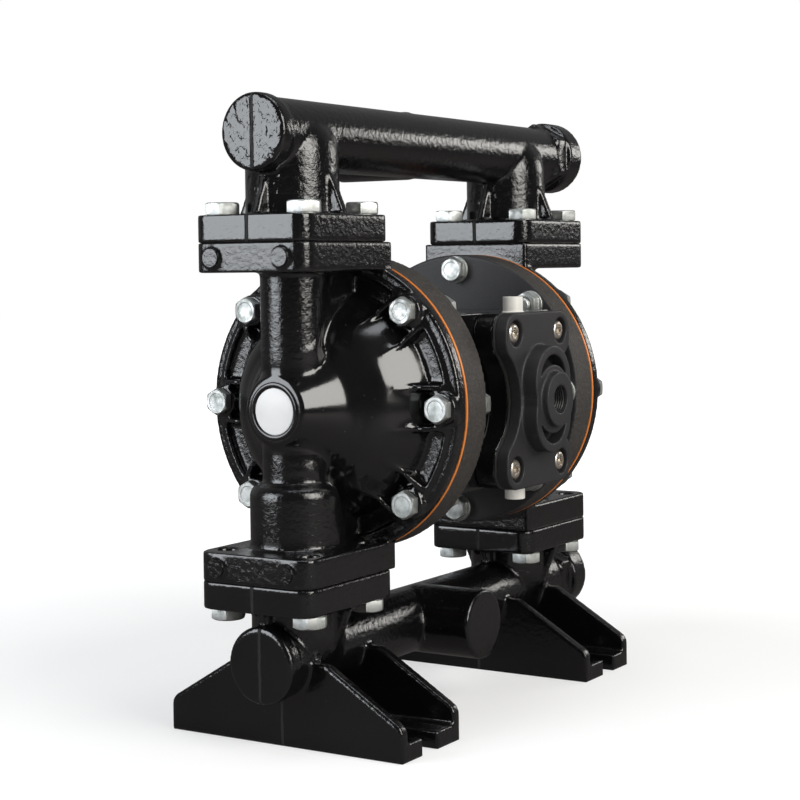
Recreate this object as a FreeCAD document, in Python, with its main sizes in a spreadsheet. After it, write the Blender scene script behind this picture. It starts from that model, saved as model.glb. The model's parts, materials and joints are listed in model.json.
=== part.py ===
"""Air-operated double diaphragm pump, one inch class, drawn piece by piece.

Millimetres. X runs along the pump shaft and the port faces look along +X. The air
inlet looks along -Y. Z is up and the feet stand on z = 0. The origin is at the middle
of the footprint's box, on the ground.
"""
import FreeCAD, Part
import math
import os
import re

import Sketcher

PARTS_FOLDER = "parts"

# Driving dimensions: name, value, what it is.
SIZE_TABLE = [
    # Whole pump
    ("shaft_height", 170.0, "pump shaft above the ground"),
    ("cap_radius", 78.5, "outer radius of the diaphragm flanges"),
    ("clamp_reach", 70.3, "shaft middle to the middle plane of a diaphragm"),
    ("joint_reach", 85.0, "shaft to the joints between fluid caps and manifolds"),
    ("column_reach", 110.0, "shaft middle to the upright flow columns"),
    ("fit_gap", 0.05, "radial gap of a running or threaded fit"),
    ("loose_gap", 0.4, "radial gap of a clearance hole"),
    ("rest_gap", 0.3, "gap left under a piece that lies loose"),
    # Diaphragms and the rod that drives them
    ("diaphragm_rim", 1.5, "thickness of the clamped diaphragm rim"),
    ("diaphragm_web", 1.8, "thickness of the diaphragm at its plates"),
    ("diaphragm_roll", 5.0, "depth of the rolled loop in the diaphragm"),
    ("roll_outer", 57.0, "outer radius of the rolled loop"),
    ("rod_radius", 8.0, "connecting rod"),
    ("rod_end_radius", 6.0, "threaded end of the connecting rod"),
    ("air_plate_radius", 38.0, "diaphragm plate on the air side"),
    ("air_plate_thick", 5.0, "diaphragm plate on the air side"),
    ("fluid_plate_radius", 36.0, "diaphragm plate on the fluid side"),
    ("fluid_plate_thick", 6.0, "diaphragm plate on the fluid side"),
    ("rod_nut_flats", 19.0, "cap nut on the rod end"),
    ("rod_nut_tall", 7.0, "cap nut on the rod end"),
    ("stroke_half", 9.0, "rod travel each way from the middle"),
    # Fluid caps
    ("dome_radius", 61.0, "dome where it meets the flange"),
    ("dome_tall", 31.0, "joint face to the tip of the dome"),
    ("tight_radius", 20.0, "tight arc of the dome's outline at the flange"),
    ("cap_wall", 5.0, "wall of the fluid cap"),
    ("flange_plate", 4.5, "flange floor between the bolts"),
    ("rim_tall", 7.0, "raised outer rim of the flange"),
    ("rim_width", 8.0, "raised outer rim of the flange"),
    ("ridge_tall", 8.8, "joint face to the top of the narrow ridge inside the rim"),
    ("ridge_width", 2.2, "narrow ridge inside the rim"),
    ("bolt_circle", 69.8, "radius of the circle of cap bolts"),
    ("bolt_boss_radius", 8.5, "boss under a cap bolt"),
    ("bolt_boss_tall", 11.3, "joint face to the seat of a cap bolt"),
    ("rib_thick", 3.0, "rib beside a cap bolt"),
    ("rib_offset", 10.5, "rib to the bolt's radial line"),
    ("rib_root", 45.5, "radius where a rib starts on the dome"),
    ("rib_tall", 20.1, "joint face to the rib's top on the dome"),
    ("boss_radius", 17.5, "front boss at its face"),
    ("boss_root_radius", 44.5, "front boss at the dome"),
    ("boss_hollow", 22.0, "radius of the hollow round the foot of the front boss"),
    ("boss_reach", 128.3, "shaft middle to the front boss's face"),
    ("label_radius", 11.8, "bare disc on the front boss"),
    ("label_thick", 0.8, "bare disc on the front boss"),
    ("column_radius", 17.3, "upright flow column"),
    ("column_bore", 12.5, "flow passage in the column"),
    ("column_stop", 18.0, "solid column left each side of the shaft line"),
    ("web_half", 14.0, "half width of the elbow between dome and column"),
    ("elbow_low", 20.0, "elbow's nearer side above the shaft line"),
    ("chamber_radius", 24.0, "outside of the inlet ball chamber"),
    ("chamber_tall", 41.0, "joint face to the rounded top of the inlet ball chamber"),
    # Square flanges between caps and manifolds
    ("cap_flange_thick", 15.0, "square flange of a fluid cap"),
    ("manifold_flange_thick", 14.0, "square flange of a manifold"),
    ("flange_length", 77.4, "square flange along X"),
    ("flange_width", 69.6, "square flange along Y"),
    ("flange_corner", 8.5, "corner rounding of the square flanges"),
    ("nub_radius", 4.5, "round nubs on the flange's outer face"),
    ("nub_half", 21.3, "round nubs from the middle of the face"),
    ("nub_tall", 2.5, "round nubs on the flange's outer face"),
    ("pattern_x", 50.5, "manifold bolt spacing along X"),
    ("pattern_y", 50.8, "manifold bolt spacing along Y"),
    # Check valves
    ("ball_radius", 15.875, "check ball"),
    ("ball_room", 19.9, "bore of a ball chamber"),
    ("ball_room_tall", 35.0, "height of a ball chamber"),
    ("stop_reach", 11.0, "column's line to the ribs that stop a ball"),
    ("stop_tall", 6.2, "ribs that stop a ball"),
    ("stop_thick", 4.0, "ribs that stop a ball"),
    ("seat_radius", 22.0, "ball seat ring"),
    ("seat_bore", 12.5, "ball seat ring"),
    ("seat_thick", 6.0, "ball seat ring"),
    ("seat_bevel", 1.2, "bevel that the ball lands on"),
    ("seal_wire", 1.5, "radius of the wire of a seat seal"),
    # Manifolds
    ("outlet_rise", 139.7, "shaft line up to the outlet tube"),
    ("inlet_height", 44.1, "ground up to the inlet tube"),
    ("tube_radius", 18.2, "outside of the manifold tubes"),
    ("tube_bore", 13.5, "bore of the manifold tubes"),
    ("closed_reach", 143.4, "shaft middle to the closed tube end"),
    ("drum_radius", 19.7, "thick closed end of a tube"),
    ("drum_length", 9.0, "thick closed end of a tube"),
    ("drum_edge", 2.0, "rounded edge of the closed end"),
    ("port_reach", 169.8, "shaft middle to the port face"),
    ("collar_radius", 22.0, "collar round a port"),
    ("collar_length", 15.0, "collar round a port"),
    ("spanner_flats", 37.0, "flats behind a port collar"),
    ("spanner_length", 9.0, "flats behind a port collar"),
    ("port_radius", 15.15, "one inch female port thread at its crests"),
    ("port_depth", 18.0, "length of the port thread"),
    ("neck_radius", 24.0, "outside of the manifold necks"),
    ("neck_dome_drop", 11.7, "tube line to the middle of a neck's dome"),
    ("gusset_thick", 5.0, "gusset at the foot of a neck"),
    ("gusset_run", 9.0, "gusset beyond the neck"),
    ("gusset_tall", 24.0, "gusset above the flange"),
    ("tee_radius", 19.1, "blank centre branch"),
    ("tee_reach", 46.0, "tube line to the blank centre branch's face"),
    # Feet
    ("foot_inner", 70.8, "shaft middle to the inner side of a foot"),
    ("foot_outer", 125.4, "shaft middle to the outer side of a foot"),
    ("foot_half", 72.3, "pump line to the end of a foot"),
    ("foot_floor", 9.0, "floor between the two webs of a foot"),
    ("foot_web", 6.0, "thickness of a foot's web"),
    ("foot_end_tall", 17.0, "height of a foot at its end"),
    ("foot_top_half", 27.0, "half length of a foot at its top"),
    ("foot_corner", 7.0, "rounding of a foot's upper corner"),
    ("slot_width", 13.0, "open slot for a floor bolt"),
    ("slot_reach", 99.6, "shaft middle to the slot"),
    ("slot_depth", 21.0, "end of the foot to the slot's middle"),
    # Air side
    ("air_face", 50.5, "shaft middle to the inner face of an air cap"),
    ("dish_floor", 4.0, "floor of the dish in an air cap"),
    ("dish_flat", 42.0, "radius of the dish's flat floor"),
    ("dish_radius", 59.0, "radius of the dish at its mouth"),
    ("dish_lip", 4.0, "depth of the dish at its mouth"),
    ("gasket_thick", 1.0, "gaskets of the air side"),
    ("body_front", 61.5, "pump line to the front of the centre body"),
    ("body_back", 41.0, "pump line to the back of the centre body"),
    ("body_half", 47.0, "half height of the centre body"),
    ("nut_notch", 9.5, "scoop in the centre body round a cap nut"),
    ("bush_radius", 11.0, "rod bush"),
    ("bush_length", 24.0, "rod bush"),
    ("rod_seal_length", 5.0, "rod seal"),
    ("rod_room", 9.5, "bore in the centre body between the bushes"),
    ("pilot_rise", 24.0, "shaft line to the pilot rod"),
    ("pilot_radius", 4.0, "pilot rod"),
    ("pilot_shift", 4.0, "pilot rod travel each way from the middle"),
    ("pilot_bush_radius", 6.5, "pilot bush"),
    ("pilot_bush_length", 10.0, "pilot bush"),
    ("air_screw_circle", 24.0, "air cap screws from the shaft line, each way"),
    ("air_screw_radius", 3.0, "air cap screw"),
    ("air_screw_head", 6.0, "air cap screw"),
    ("air_screw_length", 16.0, "air cap screw in the centre body"),
    ("exhaust_radius", 16.0, "exhaust boss"),
    ("exhaust_reach", 60.0, "pump line to the exhaust port's face"),
    ("exhaust_bore", 9.3, "half inch female exhaust thread at its crests"),
    ("exhaust_depth", 16.0, "length of the exhaust thread"),
    # Air valve
    ("valve_half", 46.8, "half height of the valve block and its cover"),
    ("valve_side", 35.5, "half width of the valve block and its cover"),
    ("valve_waist", 20.0, "half width at the waist"),
    ("waist_radius", 31.0, "hollow of the waist"),
    ("valve_front", 74.0, "pump line to the front of the valve block"),
    ("spigot_half", 17.0, "half width of the valve block's spigot"),
    ("spigot_back", 51.0, "pump line to the back of the spigot"),
    ("cover_thick", 7.0, "valve cover plate"),
    ("screw_x", 24.7, "cover screws from the middle, along X"),
    ("screw_z", 36.0, "cover screws from the middle, along Z"),
    ("cover_screw_radius", 3.0, "cover screw"),
    ("cover_screw_head", 5.4, "cover screw"),
    ("cover_screw_tall", 3.2, "cover screw"),
    ("cover_sink", 7.0, "radius of the screw pockets"),
    ("cover_sink_deep", 4.0, "depth of the screw pockets"),
    ("cover_screw_length", 34.0, "cover screw"),
    ("pad_radius", 19.5, "lobes of the raised pad"),
    ("pad_rise", 9.3, "lobes of the raised pad from the port"),
    ("pad_tall", 9.0, "raised pad above the cover"),
    ("pad_wall", 5.0, "wall round the crescent recesses"),
    ("crescent_inner", 18.5, "crescent recesses' nearer side"),
    ("crescent_deep", 8.0, "crescent recesses"),
    ("inlet_collar", 14.7, "collar of the air inlet"),
    ("inlet_collar_tall", 13.0, "collar above the cover"),
    ("air_port_radius", 7.475, "three-eighths female air thread at its crests"),
    ("air_port_depth", 15.0, "length of the air thread"),
    ("air_feed", 5.5, "feed hole behind the air thread"),
    ("spool_line", 66.0, "pump line to the spool"),
    ("spool_bore", 6.2, "spool bore in the valve block"),
    ("spool_length", 58.0, "spool"),
    ("spool_travel", 11.0, "spool, from end to end"),
    ("land_length", 9.0, "land of the spool"),
    ("spool_neck", 3.6, "spool between its lands"),
    ("spool_groove", 1.6, "groove for a spool seal"),
    ("plug_depth", 12.0, "plug inside the spool bore"),
    ("plug_neck", 5.5, "plug outside the valve block"),
    ("plug_tall", 8.0, "plug outside the valve block"),
    # Fasteners
    ("cap_bolt", 4.0, "radius of the cap bolts"),
    ("cap_bolt_flats", 13.0, "cap bolts and nuts"),
    ("cap_bolt_head", 5.3, "cap bolt head"),
    ("cap_nut_tall", 6.5, "cap nut"),
    ("cap_bolt_spare", 2.5, "cap bolt beyond its nut"),
    ("washer_radius", 8.0, "washer on the air cap"),
    ("washer_thick", 1.6, "washer on the air cap"),
    ("rim_screw_depth", 12.0, "rim screw in the fluid cap"),
    ("manifold_bolt", 5.0, "radius of the manifold bolts"),
    ("manifold_bolt_flats", 16.0, "manifold bolts"),
    ("manifold_bolt_head", 6.4, "manifold bolt head"),
    ("manifold_bolt_depth", 12.0, "manifold bolt in the cap flange"),
]

doc = FreeCAD.newDocument("diaphragm_pump")
sheet = doc.addObject("Spreadsheet::Sheet", "Sizes")
for row, (name, number, note) in enumerate(SIZE_TABLE, 1):
    sheet.set(f"A{row}", name)
    sheet.set(f"B{row}", str(number))
    sheet.setAlias(f"B{row}", name)
    sheet.set(f"C{row}", note)
doc.recompute()

WORDS = {name for name, number, note in SIZE_TABLE}
PLANES = {"XY": "XY_Plane", "XZ": "XZ_Plane", "YZ": "YZ_Plane"}
NODES = {}

# The origin is at the middle of the whole pump's box.
MIDDLE_X = "(column_reach + flange_length / 2 + nub_tall - port_reach) / 2"
MIDDLE_Y = "(valve_front + gasket_thick + cover_thick + inlet_collar_tall - cap_radius) / 2"

# Planes and places that several pieces share.
FACE = "(clamp_reach + diaphragm_rim / 2)"
AIR_RIM = "(clamp_reach - diaphragm_rim / 2)"
BODY_END = "(air_face - gasket_thick)"
WEB_IN = "(clamp_reach - diaphragm_web / 2)"
WEB_OUT = "(clamp_reach + diaphragm_web / 2)"
ROD_SHOULDER = f"({WEB_IN} - air_plate_thick)"
ROD_SEAT = f"({WEB_OUT} + fluid_plate_thick)"
BOLT_SEAT = f"({FACE} + bolt_boss_tall)"
PILOT_END = f"({ROD_SHOULDER} - stroke_half + pilot_shift - loose_gap)"
COVER_BACK = "(valve_front + gasket_thick)"
COVER_FRONT = f"({COVER_BACK} + cover_thick)"
OUTLET_JOINT = "(outlet_rise - joint_reach)"
INLET_JOINT = "(shaft_height - joint_reach - inlet_height)"
BALL_RISE = "(sqrt(ball_radius ^ 2 - seat_bore ^ 2) - seat_bevel + rest_gap)"


def cell(expression):
    """The expression with every size's name pointed at the sheet."""
    return re.sub(r"[a-z]+(?:_[a-z]+)+", lambda m: "Sizes." + m[0] if m[0] in WORDS else m[0], expression)


def value(expression):
    """The expression's number."""
    return float(sheet.evalExpression(cell(expression)))


def bind(thing, field, expression):
    """Tie one property to the sheet."""
    thing.setExpression(field, cell(expression))


def place(thing, node, x="0", y="0", z="shaft_height", axis=(0, 0, 1), turn=0):
    """Name the piece and put it in the pump."""
    thing.Label = node
    thing.Placement = FreeCAD.Placement(FreeCAD.Vector(), FreeCAD.Rotation(FreeCAD.Vector(*axis), turn))
    bind(thing, "Placement.Base.x", f"{x} + {MIDDLE_X}")
    bind(thing, "Placement.Base.y", f"{y} + {MIDDLE_Y}")
    bind(thing, "Placement.Base.z", z)
    NODES[node] = thing
    return thing


def new_body(name):
    """An empty body that may hold several separate solids."""
    body = doc.addObject("PartDesign::Body", name)
    body.AllowCompound = True
    return body


def origin_part(body, role):
    return next(f for f in body.Origin.OriginFeatures if f.Role == role)


def new_sketch(body, plane, start="0"):
    """A sketch on one of the body's own planes, moved along the plane's normal."""
    sketch = body.newObject("Sketcher::SketchObject", body.Name + "_sketch")
    sketch.AttachmentSupport = (origin_part(body, PLANES[plane]), "")
    sketch.MapMode = "FlatFace"
    bind(sketch, "AttachmentOffset.Base.z", start)
    return sketch


def draw_outline(sketch, corners, arcs=None):
    """A closed outline with every corner dimensioned.

    arcs maps the number of a side to the centre and radius of its arc; the rest are straight.
    """
    arcs = arcs or {}
    first = sketch.GeometryCount
    spots = [FreeCAD.Vector(value(u), value(v), 0) for u, v in corners]
    count = len(corners)
    starts = [1] * count
    for k, (spot, after) in enumerate(zip(spots, spots[1:] + spots[:1])):
        if k not in arcs:
            sketch.addGeometry(Part.LineSegment(spot, after))
            continue
        u, v, radius = (value(formula) for formula in arcs[k])
        centre = FreeCAD.Vector(u, v, 0)
        backwards = (spot - centre).cross(after - centre).z < 0
        low, high = (after, spot) if backwards else (spot, after)
        angles = [math.atan2(end.y - v, end.x - u) for end in (low, high)]
        sketch.addGeometry(Part.ArcOfCircle(Part.Circle(centre, FreeCAD.Vector(0, 0, 1), radius), *angles))
        starts[k] = 2 if backwards else 1
    for k in range(count):
        following = (k + 1) % count
        ends = (first + k, 3 - starts[k], first + following, starts[following])
        sketch.addConstraint(Sketcher.Constraint("Coincident", *ends))
    for k, (corner, spot) in enumerate(zip(corners, spots)):
        for kind, formula, number in (("DistanceX", corner[0], spot.x), ("DistanceY", corner[1], spot.y)):
            index = sketch.addConstraint(Sketcher.Constraint(kind, -1, 1, first + k, starts[k], number))
            bind(sketch, f"Constraints[{index}]", formula)
    for k, (u, v, radius) in arcs.items():
        index = sketch.addConstraint(Sketcher.Constraint("Radius", first + k, value(radius)))
        bind(sketch, f"Constraints[{index}]", radius)
    return sketch


def draw_circle(sketch, u, v, radius):
    """A dimensioned circle."""
    centre = FreeCAD.Vector(value(u), value(v), 0)
    number = sketch.addGeometry(Part.Circle(centre, FreeCAD.Vector(0, 0, 1), value(radius)))
    for kind, formula in (("DistanceX", u), ("DistanceY", v)):
        index = sketch.addConstraint(Sketcher.Constraint(kind, -1, 1, number, 3, value(formula)))
        bind(sketch, f"Constraints[{index}]", formula)
    index = sketch.addConstraint(Sketcher.Constraint("Radius", number, value(radius)))
    bind(sketch, f"Constraints[{index}]", radius)
    return sketch


def draw_hexagon(sketch, u, v, flats):
    """A hexagon with two flats square to the sketch's first axis."""
    corners = [
        (f"{u} + {flats} / sqrt(3) * cos({angle})", f"{v} + {flats} / sqrt(3) * sin({angle})")
        for angle in range(30, 390, 60)
    ]
    return draw_outline(sketch, corners)


def draw_box(sketch, low_u, high_u, low_v, high_v):
    """A rectangle from its four sides."""
    return draw_outline(sketch, [(low_u, low_v), (high_u, low_v), (high_u, high_v), (low_u, high_v)])


def pad(body, sketch, length):
    """Material from the sketch along its normal."""
    feature = body.newObject("PartDesign::Pad", body.Name + "_pad")
    feature.Profile = sketch
    bind(feature, "Length", length)
    feature.Refine = False
    body.Tip = feature
    return feature


def cut(body, sketch, length):
    """A hole from the sketch along its normal."""
    before = body.Tip
    feature = body.newObject("PartDesign::Pocket", body.Name + "_cut")
    feature.Profile = sketch
    feature.Reversed = True
    bind(feature, "Length", length)
    feature.Refine = False
    body.Tip = feature
    doc.recompute()
    check_removed(before, feature)
    return feature


def check_removed(before, after):
    """A cut that takes nothing away points the wrong way."""
    if not after.Shape.Volume < before.Shape.Volume - 1e-3:
        raise RuntimeError(f"{after.Name} cuts nothing")


def turned(body, corners, axis="H", plane="XZ", arcs=None):
    """Material turned about the sketch's first (H) or second (V) axis."""
    sketch = draw_outline(new_sketch(body, plane), corners, arcs)
    feature = body.newObject("PartDesign::Revolution", body.Name + "_turned")
    feature.Profile = sketch
    feature.ReferenceAxis = (sketch, [axis + "_Axis"])
    feature.Angle = 360
    feature.Refine = False
    body.Tip = feature
    return feature


def turned_about(body, line_u, corners, arcs=None):
    """Material turned about an upright line drawn in the XZ sketch."""
    sketch = draw_outline(new_sketch(body, "XZ"), corners, arcs)
    u = value(line_u)
    line = sketch.addGeometry(Part.LineSegment(FreeCAD.Vector(u, 0, 0), FreeCAD.Vector(u, 10, 0)), True)
    for point, level in ((1, 0), (2, 10)):
        index = sketch.addConstraint(Sketcher.Constraint("DistanceX", -1, 1, line, point, u))
        bind(sketch, f"Constraints[{index}]", line_u)
        sketch.addConstraint(Sketcher.Constraint("DistanceY", -1, 1, line, point, level))
    feature = body.newObject("PartDesign::Revolution", body.Name + "_turned")
    feature.Profile = sketch
    feature.ReferenceAxis = (sketch, ["Axis0"])
    feature.Angle = 360
    feature.Refine = False
    body.Tip = feature
    return feature


def groove(body, corners, axis="H", plane="XZ", arcs=None):
    """A turned cut."""
    before = body.Tip
    sketch = draw_outline(new_sketch(body, plane), corners, arcs)
    feature = body.newObject("PartDesign::Groove", body.Name + "_groove")
    feature.Profile = sketch
    feature.ReferenceAxis = (sketch, [axis + "_Axis"])
    feature.Angle = 360
    feature.Refine = False
    body.Tip = feature
    doc.recompute()
    check_removed(before, feature)
    return feature


def polar(body, features, count):
    """Copies all the way round the X axis."""
    pattern = body.newObject("PartDesign::PolarPattern", body.Name + "_ring")
    pattern.Originals = features
    pattern.Axis = (origin_part(body, "X_Axis"), [""])
    pattern.Angle = 360
    pattern.Occurrences = count
    pattern.Refine = False
    body.Tip = pattern
    return pattern


def mirror(body, features, plane="YZ"):
    """The same features on the other side of the plane."""
    copy = body.newObject("PartDesign::Mirrored", body.Name + "_mirror")
    copy.Originals = features
    copy.MirrorPlane = (origin_part(body, PLANES[plane]), [""])
    copy.Refine = False
    body.Tip = copy
    return copy


def add_cone(body, low_radius, high_radius, tall, x, y, z, kind="Additive", along_x=False):
    """A cone that adds to the body or takes from it."""
    feature = body.newObject(f"PartDesign::{kind}Cone", body.Name + "_cone")
    bind(feature, "Radius1", low_radius)
    bind(feature, "Radius2", high_radius)
    bind(feature, "Height", tall)
    turn = FreeCAD.Rotation(FreeCAD.Vector(0, 1, 0), 90 * along_x)
    feature.Placement = FreeCAD.Placement(FreeCAD.Vector(), turn)
    for letter, formula in zip("xyz", (x, y, z)):
        bind(feature, f"Placement.Base.{letter}", formula)
    feature.Refine = False
    body.Tip = feature
    return feature


def round_edges(body, radius, wanted):
    """Fillet the edges of the body's last feature that the test picks."""
    doc.recompute()
    base = body.Tip
    names = [f"Edge{k}" for k, edge in enumerate(base.Shape.Edges, 1) if wanted(edge)]
    feature = body.newObject("PartDesign::Fillet", body.Name + "_round")
    feature.Base = (base, names)
    bind(feature, "Radius", radius)
    body.Tip = feature
    return feature


def upright(edge):
    """Is it a straight edge along Z?"""
    ends = [v.Point for v in edge.Vertexes]
    return len(ends) == 2 and (ends[1] - ends[0]).cross(FreeCAD.Vector(0, 0, 1)).Length < 1e-6


def ring_spots(angles):
    """Places on the cap bolt circle, at angles from +Y towards +Z."""
    return [(f"bolt_circle * cos({a})", f"bolt_circle * sin({a})") for a in angles]


THROUGH_BOLTS = ring_spots((-45, 0, 45, 135, 180, 225))
RIM_SCREWS = ring_spots((90, 270))
FLANGE_SPOTS = [(sx, sy) for sx in ("-", "") for sy in ("-", "")]


def both_sides(make, name):
    """A piece at the right (+X) end and its mirror image at the left."""
    right = place(make(f"{name}_right"), f"{name}_right")
    left = doc.addObject("Part::Mirroring", f"{name}_left")
    left.Source = right
    left.Normal = FreeCAD.Vector(1, 0, 0)
    bind(left, "Base.x", MIDDLE_X)
    left.Label = f"{name}_left"
    NODES[left.Label] = left


def square_flange(body, low, thick):
    """A square flange round a column, with its upright edges rounded."""
    sketch = new_sketch(body, "XY", low)
    near, far = "column_reach - flange_length / 2", "column_reach + flange_length / 2"
    draw_box(sketch, near, far, "-flange_width / 2", "flange_width / 2")
    return pad(body, sketch, thick)


def flange_holes(body, low, deep, radius, sides=("",)):
    """The four bolt holes of each square flange."""
    sketch = new_sketch(body, "XY", low)
    for side in sides:
        for sx, sy in FLANGE_SPOTS:
            draw_circle(sketch, f"{side}column_reach + {sx}pattern_x / 2", f"{sy}pattern_y / 2", radius)
    return cut(body, sketch, deep)


# Fluid caps

# The dome's outline has two arcs that run into each other: a tight one at the flange
# and a flat one at the tip.
TIGHT_CENTRE = "(dome_radius - tight_radius)"
FLAT_RADIUS = (
    f"((dome_tall ^ 2 + {TIGHT_CENTRE} ^ 2 - tight_radius ^ 2) / (2 * (dome_tall - tight_radius)))"
)
FLAT_CENTRE = f"({FACE} + dome_tall - {FLAT_RADIUS})"


def dome_joint(wall):
    """Where the two arcs meet, on a surface that lies one wall inside the dome."""
    along = f"({FLAT_RADIUS} - dome_tall) / ({FLAT_RADIUS} - tight_radius)"
    across = f"{TIGHT_CENTRE} / ({FLAT_RADIUS} - tight_radius)"
    deep = f"(tight_radius - {wall})"
    return f"{FACE} + {deep} * {along}", f"{TIGHT_CENTRE} + {deep} * {across}"


def boss_outline():
    """The front boss's foot on the dome, its hollow's middle, and where the straight flank starts.

    The hollow's arc leaves the dome's flat arc without a corner and ends where a straight line
    from the edge of the boss's face touches it.
    """
    foot_x = f"sqrt({FLAT_RADIUS} ^ 2 - boss_root_radius ^ 2)"
    grow = f"(1 + boss_hollow / {FLAT_RADIUS})"
    middle = f"({FLAT_CENTRE} + {grow} * {foot_x})", f"({grow} * boss_root_radius)"
    back, out = f"({middle[0]} - boss_reach)", f"({middle[1]} - boss_radius)"
    far = f"({back} ^ 2 + {out} ^ 2)"
    touch = f"sqrt({far} - boss_hollow ^ 2)"
    start = (
        f"boss_reach + {touch} * ({touch} * {back} - boss_hollow * {out}) / {far}",
        f"boss_radius + {touch} * ({touch} * {out} + boss_hollow * {back}) / {far}",
    )
    return (f"{FLAT_CENTRE} + {foot_x}", "boss_root_radius"), middle, start


def fluid_cap(name):
    """Dome, flange, flow columns and square flanges in one casting; X points outwards."""
    cap = new_body(name)
    floor, rim, ridge = f"{FACE} + flange_plate", f"{FACE} + rim_tall", f"{FACE} + ridge_tall"
    lip = "cap_radius - rim_width"
    foot, hollow, flank = boss_outline()
    turned(cap, [
        (FACE, "0"), (FACE, "cap_radius"), (rim, "cap_radius"), (rim, f"{lip} + ridge_width"),
        (ridge, f"{lip} + ridge_width"), (ridge, lip), (floor, lip),
        (floor, f"{TIGHT_CENTRE} + sqrt(tight_radius ^ 2 - flange_plate ^ 2)"), dome_joint("0"),
        foot, flank, ("boss_reach", "boss_radius"), ("boss_reach", "0"),
    ], plane="XY", arcs={
        7: (FACE, TIGHT_CENTRE, "tight_radius"), 8: (FLAT_CENTRE, "0", FLAT_RADIUS),
        9: (*hollow, "boss_hollow"),
    })

    top = "joint_reach - cap_flange_thick / 2"
    neck_low = "chamber_tall - joint_reach"
    shoulder = "(chamber_radius - column_radius)"
    turned_about(cap, "column_reach", [
        ("column_reach", "-joint_reach"), ("column_reach + chamber_radius", "-joint_reach"),
        ("column_reach + chamber_radius", neck_low),
        ("column_reach + column_radius", f"{neck_low} + {shoulder}"),
        ("column_reach + column_radius", top), ("column_reach", top),
    ], arcs={2: ("column_reach + column_radius", neck_low, shoulder)})
    square_flange(cap, "-joint_reach", "cap_flange_thick")
    square_flange(cap, "joint_reach - cap_flange_thick", "cap_flange_thick")
    far_side = value("column_reach + flange_length / 2")
    round_edges(cap, "flange_corner", lambda e: upright(e) and abs(e.BoundBox.XMin - far_side) < 1e-4)
    nubs = new_sketch(cap, "YZ", "column_reach + flange_length / 2 - nub_tall")
    for across in ("-nub_half", "nub_half"):
        for level in ("joint_reach - cap_flange_thick / 2", "cap_flange_thick / 2 - joint_reach"):
            draw_circle(nubs, across, level, "nub_radius")
    pad(cap, nubs, "2 * nub_tall")
    plate_middle = f"{FACE} + flange_plate / 2"
    for low, high in (("elbow_low", top), (f"-({top})", "-elbow_low")):
        elbow = draw_box(new_sketch(cap, "XZ", "-web_half"), plate_middle, "column_reach", low, high)
        pad(cap, elbow, "2 * web_half")
    boss = draw_circle(new_sketch(cap, "YZ", FACE), "bolt_circle", "0", "bolt_boss_radius")
    polar(cap, [pad(cap, boss, "bolt_boss_tall")], 8)
    rib_corners = [
        (plate_middle, "rib_root"), (plate_middle, f"{lip} + rim_width / 2"),
        (rim, f"{lip} + rim_width / 2"), (f"{FACE} + rib_tall", "rib_root"),
    ]
    ribs = []
    for start in ("rib_offset - rib_thick / 2", "-rib_offset - rib_thick / 2"):
        ribs.append(pad(cap, draw_outline(new_sketch(cap, "XZ", start), rib_corners), "rib_thick"))
    polar(cap, ribs, 8)

    # Insides: pump chamber, elbows, columns, ball chamber and seat pocket.
    groove(cap, [
        (f"{FACE} - 1", "0"), (f"{FACE} - 1", "dome_radius - cap_wall"), (FACE, "dome_radius - cap_wall"),
        dome_joint("cap_wall"), (f"{FACE} + dome_tall - cap_wall", "0"),
    ], plane="XY", arcs={
        2: (FACE, TIGHT_CENTRE, "tight_radius - cap_wall"),
        3: (FLAT_CENTRE, "0", f"({FLAT_RADIUS} - cap_wall)"),
    })
    room_top = "ball_room_tall - joint_reach"
    near, far = "elbow_low + cap_wall", "joint_reach - cap_flange_thick - column_bore"
    for low, high in ((near, far), (room_top, f"-({near})")):
        slot = draw_box(new_sketch(cap, "XZ", "cap_wall - web_half"), floor, "column_reach", low, high)
        cut(cap, slot, "2 * (web_half - cap_wall)")
    upper = draw_circle(new_sketch(cap, "XY", "column_stop"), "column_reach", "0", "column_bore")
    cut(cap, upper, "joint_reach")
    lower = draw_circle(new_sketch(cap, "XY", room_top), "column_reach", "0", "column_bore")
    cut(cap, lower, f"-(column_stop + {room_top})")
    room = draw_circle(new_sketch(cap, "XY", "-joint_reach - 1"), "column_reach", "0", "ball_room")
    cut(cap, room, "ball_room_tall + 1")
    ball_stops(cap, f"{room_top} - stop_tall")
    seal = new_sketch(cap, "XY", "joint_reach - seat_thick - 2 * seal_wire")
    cut(cap, draw_circle(seal, "column_reach", "0", "seat_radius - seal_wire"), "2 * seal_wire + 1")
    seat = new_sketch(cap, "XY", "joint_reach - seat_thick")
    cut(cap, draw_circle(seat, "column_reach", "0", "seat_radius + fit_gap"), "seat_thick + 1")

    # Bolt holes and the seat of the bare disc.
    holes = new_sketch(cap, "YZ", f"{FACE} - 1")
    for across, level in THROUGH_BOLTS:
        draw_circle(holes, across, level, "cap_bolt + loose_gap")
    cut(cap, holes, "bolt_boss_tall + 2")
    blind = new_sketch(cap, "YZ", f"{FACE} - 1")
    for across, level in RIM_SCREWS:
        draw_circle(blind, across, level, "cap_bolt + fit_gap")
    cut(cap, blind, "rim_screw_depth + 2")
    for low in ("-joint_reach - 1", "joint_reach - cap_flange_thick - 1"):
        flange_holes(cap, low, "cap_flange_thick + 2", "manifold_bolt + fit_gap")
    disc_seat = new_sketch(cap, "YZ", "boss_reach - label_thick")
    cut(cap, draw_circle(disc_seat, "0", "0", "label_radius + fit_gap"), "label_thick + 1")
    return cap


# Manifolds

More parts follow.
